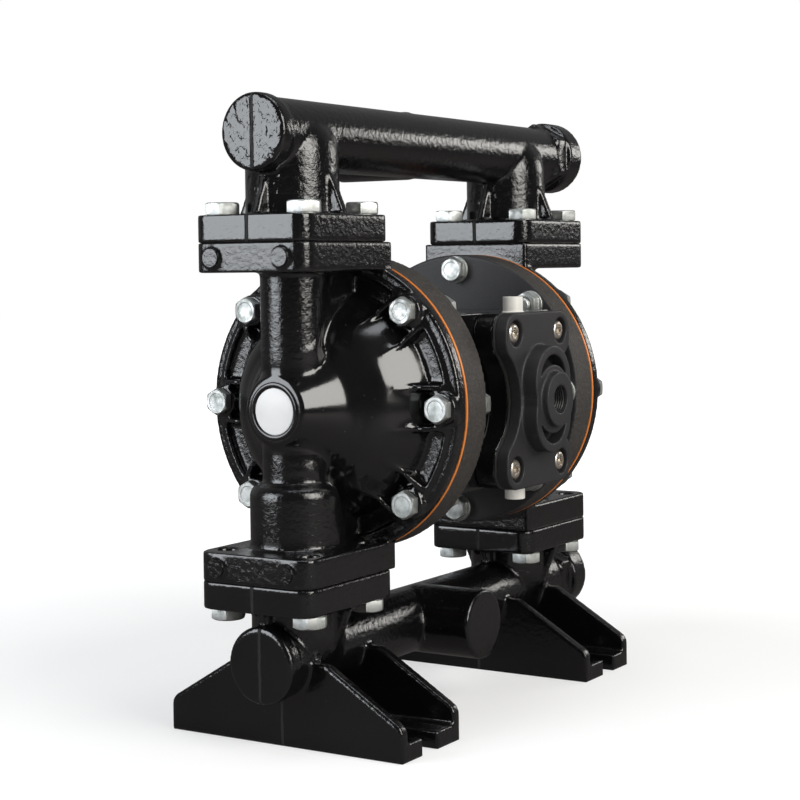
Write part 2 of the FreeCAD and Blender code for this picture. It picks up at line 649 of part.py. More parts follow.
def manifold(name, joint):
    """Tube with two necks; X runs to the port, Z points at the fluid caps, -Y at the blank branch."""
    casting = new_body(name)
    shoulder = "port_reach - collar_length - spanner_length"
    drum, edge = "drum_length - closed_reach", "drum_edge - closed_reach"
    turned(casting, [
        ("-closed_reach", "0"), ("-closed_reach", "drum_radius - drum_edge"), (edge, "drum_radius"),
        (drum, "drum_radius"), (drum, "tube_radius"), (shoulder, "tube_radius"), (shoulder, "0"),
    ], plane="XY", arcs={1: (edge, "drum_radius - drum_edge", "drum_edge")})
    flats = draw_hexagon(new_sketch(casting, "YZ", f"{shoulder} - 1"), "0", "0", "spanner_flats")
    pad(casting, flats, "spanner_length + 2")
    collar = draw_circle(new_sketch(casting, "YZ", "port_reach - collar_length"), "0", "0", "collar_radius")
    pad(casting, collar, "collar_length")
    tee = draw_circle(new_sketch(casting, "XZ", "0"), "0", "0", "tee_radius")
    pad(casting, tee, "tee_reach")

    necks = new_sketch(casting, "XY", "neck_dome_drop")
    for side in ("-", ""):
        draw_circle(necks, f"{side}column_reach", "0", "neck_radius")
    pad(casting, necks, f"{joint} - neck_dome_drop")
    for side in ("-", ""):
        ball = casting.newObject("PartDesign::AdditiveSphere", casting.Name + "_neck_dome")
        bind(ball, "Radius", "neck_radius")
        ball.Angle2 = 0
        bind(ball, "Placement.Base.x", f"{side}column_reach")
        bind(ball, "Placement.Base.z", "neck_dome_drop")
        ball.Refine = False
        casting.Tip = ball

    flange_low = f"{joint} - manifold_flange_thick"
    plates = new_sketch(casting, "XY", flange_low)
    near, far = "column_reach - flange_length / 2", "column_reach + flange_length / 2"
    for low, high in ((near, far), (f"-({far})", f"-({near})")):
        draw_box(plates, low, high, "-flange_width / 2", "flange_width / 2")
    pad(casting, plates, "manifold_flange_thick")
    outline_side = value(far)
    inline_side = value(near)

    def corner(edge):
        spot = abs(edge.BoundBox.Center.x)
        return upright(edge) and min(abs(spot - outline_side), abs(spot - inline_side)) < 1e-4

    round_edges(casting, "flange_corner", corner)

    run = "neck_radius + gusset_run"
    top = f"{flange_low} - gusset_tall"
    for side in ("-", ""):
        along = draw_outline(new_sketch(casting, "XZ", "-gusset_thick / 2"), [
            (f"{side}column_reach - ({run})", flange_low), (f"{side}column_reach - neck_radius + 1", top),
            (f"{side}column_reach + neck_radius - 1", top), (f"{side}column_reach + {run}", flange_low),
        ])
        pad(casting, along, "gusset_thick")
        across = draw_outline(new_sketch(casting, "YZ", f"{side}column_reach - gusset_thick / 2"), [
            (f"-({run})", flange_low), ("1 - neck_radius", top), ("neck_radius - 1", top), (run, flange_low),
        ])
        pad(casting, across, "gusset_thick")
    return casting


def neck_holes(casting, low, length, radius):
    """The same round hole in both necks."""
    sketch = new_sketch(casting, "XY", low)
    for side in ("-", ""):
        draw_circle(sketch, f"{side}column_reach", "0", radius)
    cut(casting, sketch, length)


def manifold_insides(casting, joint, holds_ball):
    """Tube bore, port thread, necks and bolt holes."""
    bore = draw_circle(new_sketch(casting, "YZ", "drum_length - closed_reach"), "0", "0", "tube_bore")
    cut(casting, bore, "closed_reach + port_reach")
    thread = draw_circle(new_sketch(casting, "YZ", "port_reach - port_depth"), "0", "0", "port_radius")
    cut(casting, thread, "port_depth + 1")
    neck_holes(casting, "0", f"{joint} + 1", "column_bore")
    if holds_ball:
        neck_holes(casting, f"{joint} - ball_room_tall", "ball_room_tall + 1", "ball_room")
        ball_stops(casting, f"{joint} - ball_room_tall - 1", ("-", ""))
    else:
        seal_low = f"{joint} - seat_thick - 2 * seal_wire"
        neck_holes(casting, seal_low, "2 * seal_wire + 1", "seat_radius - seal_wire")
        neck_holes(casting, f"{joint} - seat_thick", "seat_thick + 1", "seat_radius + fit_gap")
    low = f"{joint} - manifold_flange_thick - 1"
    flange_holes(casting, low, "manifold_flange_thick + 2", "manifold_bolt + loose_gap", ("-", ""))


def ball_stops(casting, low, sides=("",)):
    """Four ribs in the closed end of a ball room that keep the ball off the passage."""
    sketch = new_sketch(casting, "XY", low)
    half = "stop_thick / 2"
    for side in sides:
        middle = f"{side}column_reach"
        for sign in (-1, 1):
            near, far = f"{sign} * stop_reach", f"{sign} * (ball_room + 1)"
            low_end, high_end = (far, near) if sign < 0 else (near, far)
            draw_box(sketch, f"{middle} + {low_end}", f"{middle} + {high_end}", f"-{half}", half)
            draw_box(sketch, f"{middle} - {half}", f"{middle} + {half}", low_end, high_end)
    return pad(casting, sketch, "stop_tall + 1")


def feet(casting):
    """Two feet, each with two sloping webs, a floor and an open slot at either end."""
    ground = "-inlet_height"
    web_outline = [
        ("-foot_half", ground), ("foot_half", ground), ("foot_half", f"{ground} + foot_end_tall"),
        ("foot_top_half", "0"), ("-foot_top_half", "0"), ("-foot_half", f"{ground} + foot_end_tall"),
    ]
    starts = ("foot_inner", "foot_outer - foot_web", "-foot_inner - foot_web", "-foot_outer")
    for start in starts:
        pad(casting, draw_outline(new_sketch(casting, "YZ", start), web_outline), "foot_web")
    end_top = value(f"{ground} + foot_end_tall")

    def upper_corner(edge):
        box = edge.BoundBox
        flat = box.ZLength < 1e-6 and box.YLength < 1e-6
        return flat and abs(box.ZMin - end_top) < 1e-4 and abs(abs(box.YMin) - value("foot_half")) < 1e-4

    round_edges(casting, "foot_corner", upper_corner)
    floors = new_sketch(casting, "XY", ground)
    draw_box(floors, "foot_inner", "foot_outer", "-foot_half", "foot_half")
    draw_box(floors, "-foot_outer", "-foot_inner", "-foot_half", "foot_half")
    pad(casting, floors, "foot_floor")
    slots = new_sketch(casting, "XY", f"{ground} - 1")
    rounds = new_sketch(casting, "XY", f"{ground} - 1")
    for side in ("-", ""):
        low, high = f"{side}slot_reach - slot_width / 2", f"{side}slot_reach + slot_width / 2"
        for end in ("-", ""):
            inner, outer = f"{end}(foot_half - slot_depth)", f"{end}(foot_half + 1)"
            draw_box(slots, low, high, *((outer, inner) if end else (inner, outer)))
            draw_circle(rounds, f"{side}slot_reach", inner, "slot_width / 2")
    cut(casting, slots, "foot_floor + 2")
    cut(casting, rounds, "foot_floor + 2")


def outlet_manifold():
    casting = manifold("outlet_manifold", OUTLET_JOINT)
    manifold_insides(casting, OUTLET_JOINT, True)
    place(casting, "outlet_manifold", z="shaft_height + outlet_rise", axis=(1, 0, 0), turn=180)


def inlet_manifold():
    casting = manifold("inlet_manifold", INLET_JOINT)
    feet(casting)
    manifold_insides(casting, INLET_JOINT, False)
    place(casting, "inlet_manifold", z="inlet_height")


# Check valves

def ball_seat(name):
    """Seat ring with a bevel that the ball lands on; its top is at z = 0."""
    seat = new_body(name)
    turned(seat, [
        ("seat_bore", "-seat_thick"), ("seat_radius", "-seat_thick"), ("seat_radius", "0"),
        ("seat_bore + seat_bevel", "0"), ("seat_bore", "-seat_bevel"),
    ], axis="V")
    return seat


def check_valves():
    """Ball, seat and seal under each column and over it."""
    for stage, joint in (("inlet", "shaft_height - joint_reach"), ("outlet", "shaft_height + joint_reach")):
        for side, sign in (("left", "-"), ("right", "")):
            x = f"{sign}column_reach"
            node = f"{stage}_seat_{side}"
            place(ball_seat(node), node, x=x, z=joint)
            seal = doc.addObject("Part::Torus", f"{stage}_seat_seal_{side}")
            bind(seal, "Radius1", "seat_radius - 2 * seal_wire - fit_gap")
            bind(seal, "Radius2", "seal_wire - fit_gap / 2")
            place(seal, seal.Name, x=x, z=f"{joint} - seat_thick - seal_wire")
            ball = doc.addObject("Part::Sphere", f"{stage}_ball_{side}")
            bind(ball, "Radius", "ball_radius")
            place(ball, ball.Name, x=x, z=f"{joint} + {BALL_RISE}")


# Diaphragms, rod and plates

def diaphragm(name):
    """Flat clamped rim, one rolled loop towards the air side and a flat middle."""
    body = new_body(name)
    loop_in, loop_out = f"{WEB_IN} - diaphragm_roll", f"{WEB_OUT} - diaphragm_roll"
    hinge = "air_plate_radius + rest_gap"
    lean = "3 * diaphragm_web"
    turned(body, [
        (WEB_IN, "rod_end_radius + fit_gap"), (WEB_IN, f"{hinge} + 1"),
        (loop_in, f"{hinge} + {lean}"), (loop_in, f"roll_outer - {lean}"),
        (AIR_RIM, "roll_outer"), (AIR_RIM, "cap_radius"), (FACE, "cap_radius"),
        (FACE, "roll_outer - diaphragm_web"), (loop_out, f"roll_outer - {lean} - diaphragm_web"),
        (loop_out, f"{hinge} + {lean} + diaphragm_web"),
        (WEB_OUT, f"{hinge} + diaphragm_web + 1"), (WEB_OUT, "rod_end_radius + fit_gap"),
    ])
    holes = new_sketch(body, "YZ", f"{AIR_RIM} - 1")
    for across, level in THROUGH_BOLTS + RIM_SCREWS:
        draw_circle(holes, across, level, "cap_bolt + loose_gap")
    cut(body, holes, "diaphragm_rim + 2")
    return body


def air_plate(name):
    """Plate on the air side, with a rounded edge towards the dish."""
    plate = new_body(name)
    bevel = "air_plate_thick / 2"
    turned(plate, [
        (ROD_SHOULDER, "rod_end_radius + fit_gap"), (ROD_SHOULDER, f"air_plate_radius - {bevel}"),
        (f"{ROD_SHOULDER} + {bevel}", "air_plate_radius"), (WEB_IN, "air_plate_radius"),
        (WEB_IN, "rod_end_radius + fit_gap"),
    ])
    return plate


def fluid_plate(name):
    """Plate on the fluid side, thinner towards its edge."""
    plate = new_body(name)
    turned(plate, [
        (WEB_OUT, "rod_end_radius + fit_gap"), (WEB_OUT, "fluid_plate_radius"),
        (f"{WEB_OUT} + fluid_plate_thick / 3", "fluid_plate_radius"), (ROD_SEAT, "fluid_plate_radius / 2"),
        (ROD_SEAT, "rod_end_radius + fit_gap"),
    ])
    return plate


def rod_nut(name):
    """Closed hexagon nut on the rod end."""
    nut = new_body(name)
    pad(nut, draw_hexagon(new_sketch(nut, "YZ", ROD_SEAT), "0", "0", "rod_nut_flats"), "rod_nut_tall")
    doc.recompute()
    bore = draw_circle(new_sketch(nut, "YZ", f"{ROD_SEAT} - 1"), "0", "0", "rod_end_radius + fit_gap")
    cut(nut, bore, "rod_nut_tall - 1")
    return nut


def connecting_rod():
    rod = new_body("connecting_rod")
    end = f"{ROD_SEAT} + rod_nut_tall - 2.5"
    turned(rod, [
        (f"-({end})", "0"), (f"-({end})", "rod_end_radius"), (f"-{ROD_SHOULDER}", "rod_end_radius"),
        (f"-{ROD_SHOULDER}", "rod_radius"), (ROD_SHOULDER, "rod_radius"), (ROD_SHOULDER, "rod_end_radius"),
        (end, "rod_end_radius"), (end, "0"),
    ])
    place(rod, "connecting_rod")


def rod_bush(name):
    bush = new_body(name)
    far = f"{BODY_END} - rod_seal_length"
    near = f"{far} - bush_length"
    inner = "rod_radius + fit_gap"
    turned(bush, [(near, inner), (far, inner), (far, "bush_radius"), (near, "bush_radius")])
    return bush


def rod_seal(name):
    """Lip seal between bush and air cap."""
    seal = new_body(name)
    near, inner = f"{BODY_END} - rod_seal_length", "rod_radius + fit_gap"
    turned(seal, [
        (near, inner), (BODY_END, inner),
        (f"{BODY_END} - rod_seal_length / 2", "(rod_radius + bush_radius) / 2"),
        (BODY_END, "bush_radius"), (near, "bush_radius"),
    ])
    return seal


def pilot_pieces():
    """Pilot rod above the shaft and its two bushes."""
    rod = new_body("pilot_rod")
    bevel = "pilot_radius / 4"
    narrow = f"pilot_radius - {bevel}"
    turned(rod, [
        (f"-{PILOT_END}", "0"), (f"-{PILOT_END}", narrow), (f"{bevel} - {PILOT_END}", "pilot_radius"),
        (f"{PILOT_END} - {bevel}", "pilot_radius"), (PILOT_END, narrow), (PILOT_END, "0"),
    ])
    place(rod, "pilot_rod", z="shaft_height + pilot_rise")
    bushes = new_body("pilot_bushes")
    inner, outer = "pilot_radius + fit_gap", "pilot_bush_radius"
    near = f"{BODY_END} - pilot_bush_length"
    one = turned(bushes, [(near, inner), (BODY_END, inner), (BODY_END, outer), (near, outer)])
    mirror(bushes, [one])
    place(bushes, "pilot_bushes", z="shaft_height + pilot_rise")


# Air side

def air_cap(name):
    """Flat disc with a dish for the diaphragm plate."""
    cap = new_body(name)
    floor, lip = "air_face + dish_floor", f"{AIR_RIM} - dish_lip"
    bore = "rod_radius + 1"
    turned(cap, [
        ("air_face", bore), ("air_face", "cap_radius"), (AIR_RIM, "cap_radius"), (AIR_RIM, "dish_radius"),
        (lip, "dish_radius"), (floor, "dish_flat"), (floor, bore),
    ])
    holes = new_sketch(cap, "YZ", "air_face - 1")
    for across, level in THROUGH_BOLTS + RIM_SCREWS:
        draw_circle(holes, across, level, "cap_bolt + loose_gap")
    cut(cap, holes, f"{AIR_RIM} - air_face + 2")
    pilot = draw_circle(new_sketch(cap, "YZ", "air_face - 1"), "0", "pilot_rise", "pilot_radius + loose_gap")
    cut(cap, pilot, "dish_floor + 2")
    screws = new_sketch(cap, "YZ", "air_face - 1")
    for sy, sz in FLANGE_SPOTS:
        draw_circle(screws, f"{sy}air_screw_circle", f"{sz}air_screw_circle", "air_screw_radius + loose_gap")
    cut(cap, screws, "dish_floor + 2")
    deep = "(air_screw_head - air_screw_radius)"
    for sy, sz in FLANGE_SPOTS:
        add_cone(
            cap, "air_screw_radius + fit_gap", "air_screw_head + fit_gap", deep, f"{floor} - {deep}",
            f"{sy}air_screw_circle", f"{sz}air_screw_circle", kind="Subtractive", along_x=True,
        )
    return cap


def air_cap_gasket(name):
    gasket = new_body(name)
    sketch = new_sketch(gasket, "YZ", BODY_END)
    side, end = "(body_back - cap_wall)", "(body_half - cap_wall)"
    draw_box(sketch, f"-{side}", side, f"-{end}", end)
    draw_circle(sketch, "0", "0", "bush_radius + 1")
    draw_circle(sketch, "0", "pilot_rise", "pilot_bush_radius + 1")
    for sy, sz in FLANGE_SPOTS:
        draw_circle(sketch, f"{sy}air_screw_circle", f"{sz}air_screw_circle", "air_screw_radius + loose_gap")
    pad(gasket, sketch, "gasket_thick")
    return gasket


def air_cap_screws():
    """Countersunk screws that hold the air caps to the centre body."""
    screws = new_body("air_cap_screws")
    floor, deep = "(air_face + dish_floor)", "(air_screw_head - air_screw_radius)"
    narrow, wide = "air_screw_radius - fit_gap", "air_screw_head - fit_gap"
    length = f"{floor} - {BODY_END} + air_screw_length - 0.1"
    for start in (f"{BODY_END} - air_screw_length", f"0.1 - {floor}"):
        shanks = new_sketch(screws, "YZ", start)
        for sy, sz in FLANGE_SPOTS:
            draw_circle(shanks, f"{sy}air_screw_circle", f"{sz}air_screw_circle", "air_screw_radius")
        pad(screws, shanks, length)
    for sy, sz in FLANGE_SPOTS:
        y, z = f"{sy}air_screw_circle", f"{sz}air_screw_circle"
        add_cone(screws, narrow, wide, deep, f"{floor} - {deep}", y, z, along_x=True)
        add_cone(screws, wide, narrow, deep, f"-{floor}", y, z, along_x=True)
    place(screws, "air_cap_screws")


def centre_body():
    """Block between the air caps: rod and pilot bores, valve channel, exhaust."""
    block = new_body("center_body")
    outline = new_sketch(block, "YZ", f"-{BODY_END}")
    draw_box(outline, "-body_front", "body_back", "-body_half", "body_half")
    pad(block, outline, f"2 * {BODY_END}")
    boss = draw_circle(new_sketch(block, "XZ", "-exhaust_reach"), "0", "0", "exhaust_radius")
    pad(block, boss, "exhaust_reach - body_back + 1")
    doc.recompute()
    for start in ("air_face - washer_thick - cap_nut_tall - cap_bolt_spare - 1", f"-{BODY_END} - 1"):
        scoops = new_sketch(block, "YZ", start)
        for across, level in ring_spots((-45, 45, 135, 225)):
            draw_circle(scoops, across, level, "nut_notch")
        cut(block, scoops, "washer_thick + cap_nut_tall + cap_bolt_spare + 1 + gasket_thick")
    channel = new_sketch(block, "XZ", "spigot_back - gasket_thick")
    draw_box(channel, "-spigot_half - fit_gap", "spigot_half + fit_gap", "-body_half - 1", "body_half + 1")
    cut(block, channel, "body_front")
    through = draw_circle(new_sketch(block, "YZ", f"-{BODY_END} - 1"), "0", "0", "rod_room")
    cut(block, through, f"2 * {BODY_END} + 2")
    bush_deep = "bush_length + rod_seal_length"
    for start in (f"-{BODY_END} - 1", f"{BODY_END} - ({bush_deep})"):
        room = draw_circle(new_sketch(block, "YZ", start), "0", "0", "bush_radius + fit_gap")
        cut(block, room, f"{bush_deep} + 1")
    pilot = new_sketch(block, "YZ", f"-{BODY_END} - 1")
    draw_circle(pilot, "0", "pilot_rise", "pilot_radius + fit_gap")
    cut(block, pilot, f"2 * {BODY_END} + 2")
    for start in (f"-{BODY_END} - 1", f"{BODY_END} - pilot_bush_length"):
        hole = draw_circle(new_sketch(block, "YZ", start), "0", "pilot_rise", "pilot_bush_radius + fit_gap")
        cut(block, hole, "pilot_bush_length + 1")
    for start in (f"-{BODY_END} - 1", f"{BODY_END} - air_screw_length - 1"):
        taps = new_sketch(block, "YZ", start)
        for sy, sz in FLANGE_SPOTS:
            draw_circle(taps, f"{sy}air_screw_circle", f"{sz}air_screw_circle", "air_screw_radius + fit_gap")
        cut(block, taps, "air_screw_length + 2")
    cover_taps = new_sketch(block, "XZ", f"{COVER_FRONT} - cover_sink_deep - cover_screw_length - 1")
    for sx, sz in FLANGE_SPOTS:
        draw_circle(cover_taps, f"{sx}screw_x", f"{sz}screw_z", "cover_screw_radius + fit_gap")
    cut(block, cover_taps, "cover_screw_length + 1")
    exhaust = draw_circle(new_sketch(block, "XZ", "-exhaust_reach - 1"), "0", "0", "exhaust_bore")
    cut(block, exhaust, "exhaust_depth + 1")
    place(block, "center_body")


# Air valve

def valve_outline(body, start, length):
    """Bone-shaped slab: rounded corners and a hollow at each side."""
    slab = draw_box(new_sketch(body, "XZ", start), "-valve_side", "valve_side", "-valve_half", "valve_half")
    pad(body, slab, length)
    hollows = new_sketch(body, "XZ", f"{start} - 1")
    for side in ("-", ""):
        draw_circle(hollows, f"{side}(valve_waist + waist_radius)", "0", "waist_radius")
    doc.recompute()
    cut(body, hollows, f"{length} + 2")

    def along_y(edge):
        box = edge.BoundBox
        return box.XLength < 1e-6 and box.ZLength < 1e-6 and abs(box.XMin) > value("valve_side") - 1e-4

    round_edges(body, "valve_side - screw_x - 0.5", along_y)


def valve_block():
    """Valve block with the spool bore and a spigot that drops in the centre body."""
    block = new_body("valve_block")
    valve_outline(block, "body_front", "valve_front - body_front")
    spigot = new_sketch(block, "XZ", "spigot_back")
    draw_box(spigot, "-spigot_half", "spigot_half", "-body_half", "body_half")
    pad(block, spigot, "body_front - spigot_back + 1")
    doc.recompute()
    bore = draw_circle(new_sketch(block, "XY", "-body_half - 1"), "0", "-spool_line", "spool_bore")
    cut(block, bore, "2 * body_half + 2")
    holes = new_sketch(block, "XZ", "body_front - 1")
    for sx, sz in FLANGE_SPOTS:
        draw_circle(holes, f"{sx}screw_x", f"{sz}screw_z", "cover_screw_radius + loose_gap")
    cut(block, holes, "valve_front - body_front + 2")
    feed = draw_circle(new_sketch(block, "XZ", "spool_line"), "0", "0", "air_feed")
    cut(block, feed, "valve_front - spool_line + 1")
    place(block, "valve_block")


def valve_gaskets():
    front = new_body("valve_cover_gasket")
    valve_outline(front, "valve_front", "gasket_thick")
    holes = new_sketch(front, "XZ", "valve_front - 1")
    for sx, sz in FLANGE_SPOTS:
        draw_circle(holes, f"{sx}screw_x", f"{sz}screw_z", "cover_screw_radius + loose_gap")
    draw_circle(holes, "0", "0", "air_feed")
    cut(front, holes, "gasket_thick + 2")
    place(front, "valve_cover_gasket")
    back = new_body("valve_block_gasket")
    sheet_cut = new_sketch(back, "XZ", "spigot_back - gasket_thick")
    draw_box(sheet_cut, "-spigot_half", "spigot_half", "-body_half", "body_half")
    pad(back, sheet_cut, "gasket_thick")
    place(back, "valve_block_gasket")


def valve_cover():
    """Cover with screw pockets, raised two-lobed pad, crescents and the air inlet's collar."""
    cover = new_body("valve_cover")
    valve_outline(cover, COVER_BACK, "cover_thick")
    for level in ("pad_rise", "-pad_rise"):
        lobe = draw_circle(new_sketch(cover, "XZ", f"{COVER_FRONT} - 1"), "0", level, "pad_radius")
        pad(cover, lobe, "pad_tall + 1")
    doc.recompute()
    for level in ("pad_rise", "-pad_rise"):
        hollow = new_sketch(cover, "XZ", f"{COVER_FRONT} + pad_tall - crescent_deep")
        cut(cover, draw_circle(hollow, "0", level, "pad_radius - pad_wall"), "crescent_deep + 1")
    core = draw_circle(new_sketch(cover, "XZ", f"{COVER_FRONT} - 1"), "0", "0", "crescent_inner")
    pad(cover, core, "pad_tall + 1")
    collar = draw_circle(new_sketch(cover, "XZ", f"{COVER_FRONT} - 1"), "0", "0", "inlet_collar")
    pad(cover, collar, "inlet_collar_tall + 1")
    doc.recompute()
    mouth = f"({COVER_FRONT} + inlet_collar_tall)"
    feed = draw_circle(new_sketch(cover, "XZ", f"{COVER_BACK} - 1"), "0", "0", "air_feed")
    cut(cover, feed, "cover_thick + inlet_collar_tall + 2")
    port = draw_circle(new_sketch(cover, "XZ", f"{mouth} - air_port_depth"), "0", "0", "air_port_radius")
    cut(cover, port, "air_port_depth + 1")
    sinks = new_sketch(cover, "XZ", f"{COVER_FRONT} - cover_sink_deep")
    holes = new_sketch(cover, "XZ", f"{COVER_BACK} - 1")
    for sx, sz in FLANGE_SPOTS:
        draw_circle(sinks, f"{sx}screw_x", f"{sz}screw_z", "cover_sink")
        draw_circle(holes, f"{sx}screw_x", f"{sz}screw_z", "cover_screw_radius + loose_gap")
    cut(cover, sinks, "cover_sink_deep + 1")
    cut(cover, holes, "cover_thick + 1")
    place(cover, "valve_cover")


def cover_screws():
    screws = new_body("valve_cover_screws")
    seat = f"{COVER_FRONT} - cover_sink_deep"
    heads = new_sketch(screws, "XZ", seat)
    shanks = new_sketch(screws, "XZ", f"{seat} - cover_screw_length")
    for sx, sz in FLANGE_SPOTS:
        draw_circle(heads, f"{sx}screw_x", f"{sz}screw_z", "cover_screw_head")
        draw_circle(shanks, f"{sx}screw_x", f"{sz}screw_z", "cover_screw_radius")
    pad(screws, heads, "cover_screw_tall")
    pad(screws, shanks, "cover_screw_length + 0.5")
    place(screws, "valve_cover_screws")


def spool():
    """Three lands on a thin neck, at the lower end of its travel."""
    body = new_body("valve_spool")
    land, half = "spool_bore - fit_gap", "spool_length / 2"
    gap = "(spool_length - 3 * land_length) / 2"
    low = f"-({half})"
    levels = [low, f"{low} + land_length", f"{low} + land_length + {gap}"]
    levels += [f"{low} + 2 * land_length + {gap}", f"{half} - land_length", half]
    corners = [("0", low)]
    for k in range(0, 6, 2):
        corners += [(land, levels[k]), (land, levels[k + 1])]
        if k < 4:
            corners += [("spool_neck", levels[k + 1]), ("spool_neck", levels[k + 2])]
    corners.append(("0", half))
    turned(body, corners, axis="V")
    inner, outer = f"{land} - spool_groove", f"{land} + 1"
    for k in (0, 2, 4):
        middle = f"({levels[k]} + {levels[k + 1]}) / 2"
        lower, upper = f"{middle} - spool_groove / 2", f"{middle} + spool_groove / 2"
        groove(body, [(inner, lower), (outer, lower), (outer, upper), (inner, upper)], axis="V")
    place(body, "valve_spool", y="-spool_line", z="shaft_height - spool_travel / 2")


def spool_seals():
    """A ring in each land's groove."""
    seals = new_body("spool_seals")
    land = "spool_bore - fit_gap"
    pitch = "(spool_length - land_length) / 2"
    for k in (-1, 0, 1):
        wire = "(spool_groove / 2 - fit_gap)"
        inner = f"{land} - spool_groove + fit_gap"
        lower, upper = f"{k} * {pitch} - {wire}", f"{k} * {pitch} + {wire}"
        turned(seals, [(inner, lower), (land, lower), (land, upper), (inner, upper)], axis="V")
    place(seals, "spool_seals", y="-spool_line", z="shaft_height - spool_travel / 2")


def spool_plugs():
    """White plugs that close the spool bore, with a neck outside."""
    for node, turn in (("spool_plug_top", 0), ("spool_plug_bottom", 180)):
        plug = new_body(node)
        turned(plug, [
            ("0", "body_half - plug_depth"), ("spool_bore - fit_gap", "body_half - plug_depth"),
            ("spool_bore - fit_gap", "body_half"), ("plug_neck", "body_half"),
            ("plug_neck", "body_half + plug_tall"),
            ("0", "body_half + plug_tall"),
        ], axis="V")
        place(plug, node, y="-spool_line", axis=(1, 0, 0), turn=turn)


# Fasteners

def cap_bolts():
    """Six bolts through each fluid cap, diaphragm and air cap."""
    bolts = new_body("cap_bolts")
    end = "air_face - washer_thick - cap_nut_tall - cap_bolt_spare"
    shanks = new_sketch(bolts, "YZ", end)
    heads = new_sketch(bolts, "YZ", BOLT_SEAT)
    for across, level in THROUGH_BOLTS:
        draw_circle(shanks, across, level, "cap_bolt")
        draw_hexagon(heads, across, level, "cap_bolt_flats")
    made = [pad(bolts, heads, "cap_bolt_head"), pad(bolts, shanks, f"{BOLT_SEAT} - ({end}) + 1")]
    mirror(bolts, made)
    place(bolts, "cap_bolts")


def cap_nuts():
    nuts = new_body("cap_nuts")
    start = "air_face - washer_thick - cap_nut_tall"
    sketch = new_sketch(nuts, "YZ", start)
    for across, level in THROUGH_BOLTS:
        draw_hexagon(sketch, across, level, "cap_bolt_flats")
        draw_circle(sketch, across, level, "cap_bolt + fit_gap")
    mirror(nuts, [pad(nuts, sketch, "cap_nut_tall")])
    place(nuts, "cap_nuts")


def cap_washers():
    """A washer under every nut and rim screw."""
    washers = new_body("cap_washers")
    sketch = new_sketch(washers, "YZ", "air_face - washer_thick")
    for across, level in THROUGH_BOLTS + RIM_SCREWS:
        draw_circle(sketch, across, level, "washer_radius")
        draw_circle(sketch, across, level, "cap_bolt + loose_gap")
    mirror(washers, [pad(washers, sketch, "washer_thick")])
    place(washers, "cap_washers")


def rim_screws():
    """Screws from the air side where a square flange covers the bolt circle."""
    screws = new_body("rim_screws")
    seat = "air_face - washer_thick"
    heads = new_sketch(screws, "YZ", f"{seat} - cap_bolt_head")
    shanks = new_sketch(screws, "YZ", f"{seat} - 1")
    for across, level in RIM_SCREWS:
        draw_hexagon(heads, across, level, "cap_bolt_flats")
        draw_circle(shanks, across, level, "cap_bolt")
    length = f"{FACE} + rim_screw_depth - ({seat}) + 1"
    mirror(screws, [pad(screws, heads, "cap_bolt_head"), pad(screws, shanks, length)])
    place(screws, "rim_screws")


def manifold_bolts():
    """Four bolts in each square flange, heads on the manifold."""
    for stage, z, turn in (("outlet", "shaft_height", 0), ("inlet", "shaft_height", 180)):
        bolts = new_body(f"{stage}_manifold_bolts")
        seat = "joint_reach + manifold_flange_thick"
        heads = new_sketch(bolts, "XY", seat)
        shanks = new_sketch(bolts, "XY", "joint_reach - manifold_bolt_depth")
        for side in ("-", ""):
            for sx, sy in FLANGE_SPOTS:
                x, y = f"{side}column_reach + {sx}pattern_x / 2", f"{sy}pattern_y / 2"
                draw_hexagon(heads, x, y, "manifold_bolt_flats")
                draw_circle(shanks, x, y, "manifold_bolt")
        pad(bolts, heads, "manifold_bolt_head")
        pad(bolts, shanks, "manifold_bolt_depth + manifold_flange_thick + 1")
        place(bolts, bolts.Name, z=z, axis=(1, 0, 0), turn=turn)


def label_disc():
    """Bare disc in the seat of the left cap's boss."""
    disc = doc.addObject("Part::Cylinder", "label_disc")
    bind(disc, "Radius", "label_radius")
    bind(disc, "Height", "label_thick")
    place(disc, "label_disc", x="-boss_reach", axis=(0, 1, 0), turn=90)


both_sides(fluid_cap, "fluid_cap")
outlet_manifold()
inlet_manifold()
check_valves()
for maker, piece in (
    (diaphragm, "diaphragm"), (air_plate, "air_plate"), (fluid_plate, "fluid_plate"),
    (rod_nut, "rod_nut"), (rod_bush, "rod_bush"), (rod_seal, "rod_seal"),
    (air_cap, "air_cap"), (air_cap_gasket, "air_cap_gasket"),
):
    both_sides(maker, piece)
connecting_rod()
pilot_pieces()
air_cap_screws()
centre_body()
valve_block()
valve_gaskets()
valve_cover()
cover_screws()
spool()
spool_seals()
spool_plugs()
cap_bolts()
cap_nuts()
cap_washers()
rim_screws()
manifold_bolts()
label_disc()

doc.recompute()
faults = [o.Name for o in doc.Objects if {"Invalid", "Error"} & set(o.State)]
faults += [node for node, thing in NODES.items() if thing.Shape.isNull() or not thing.Shape.isValid()]
if faults:
    raise RuntimeError("failed: " + ", ".join(faults))

os.makedirs(PARTS_FOLDER, exist_ok=True)
for node, thing in NODES.items():
    thing.Shape.exportStep(f"{PARTS_FOLDER}/{node}.step")
print(f"{len(NODES)} nodes written")
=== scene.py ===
"""Looks of an air-operated double diaphragm pump, built round its packed CAD model.

The castings are copies of the CAD solids with rounded, slightly uneven cast edges, and the domes of the
fluid caps are filled out. Bolts, nuts, washers, screws and threads are made here ring by ring, at the places
that the CAD fasteners have. The diaphragms are cut into sectors. The other inner parts keep their CAD shape
and get a material. Sizes are in metres, in the CAD model's own frame.
"""

import json
import math

import bmesh
import bpy
from bpy.props import FloatProperty, FloatVectorProperty, IntProperty, PointerProperty
from mathutils import Matrix, Vector

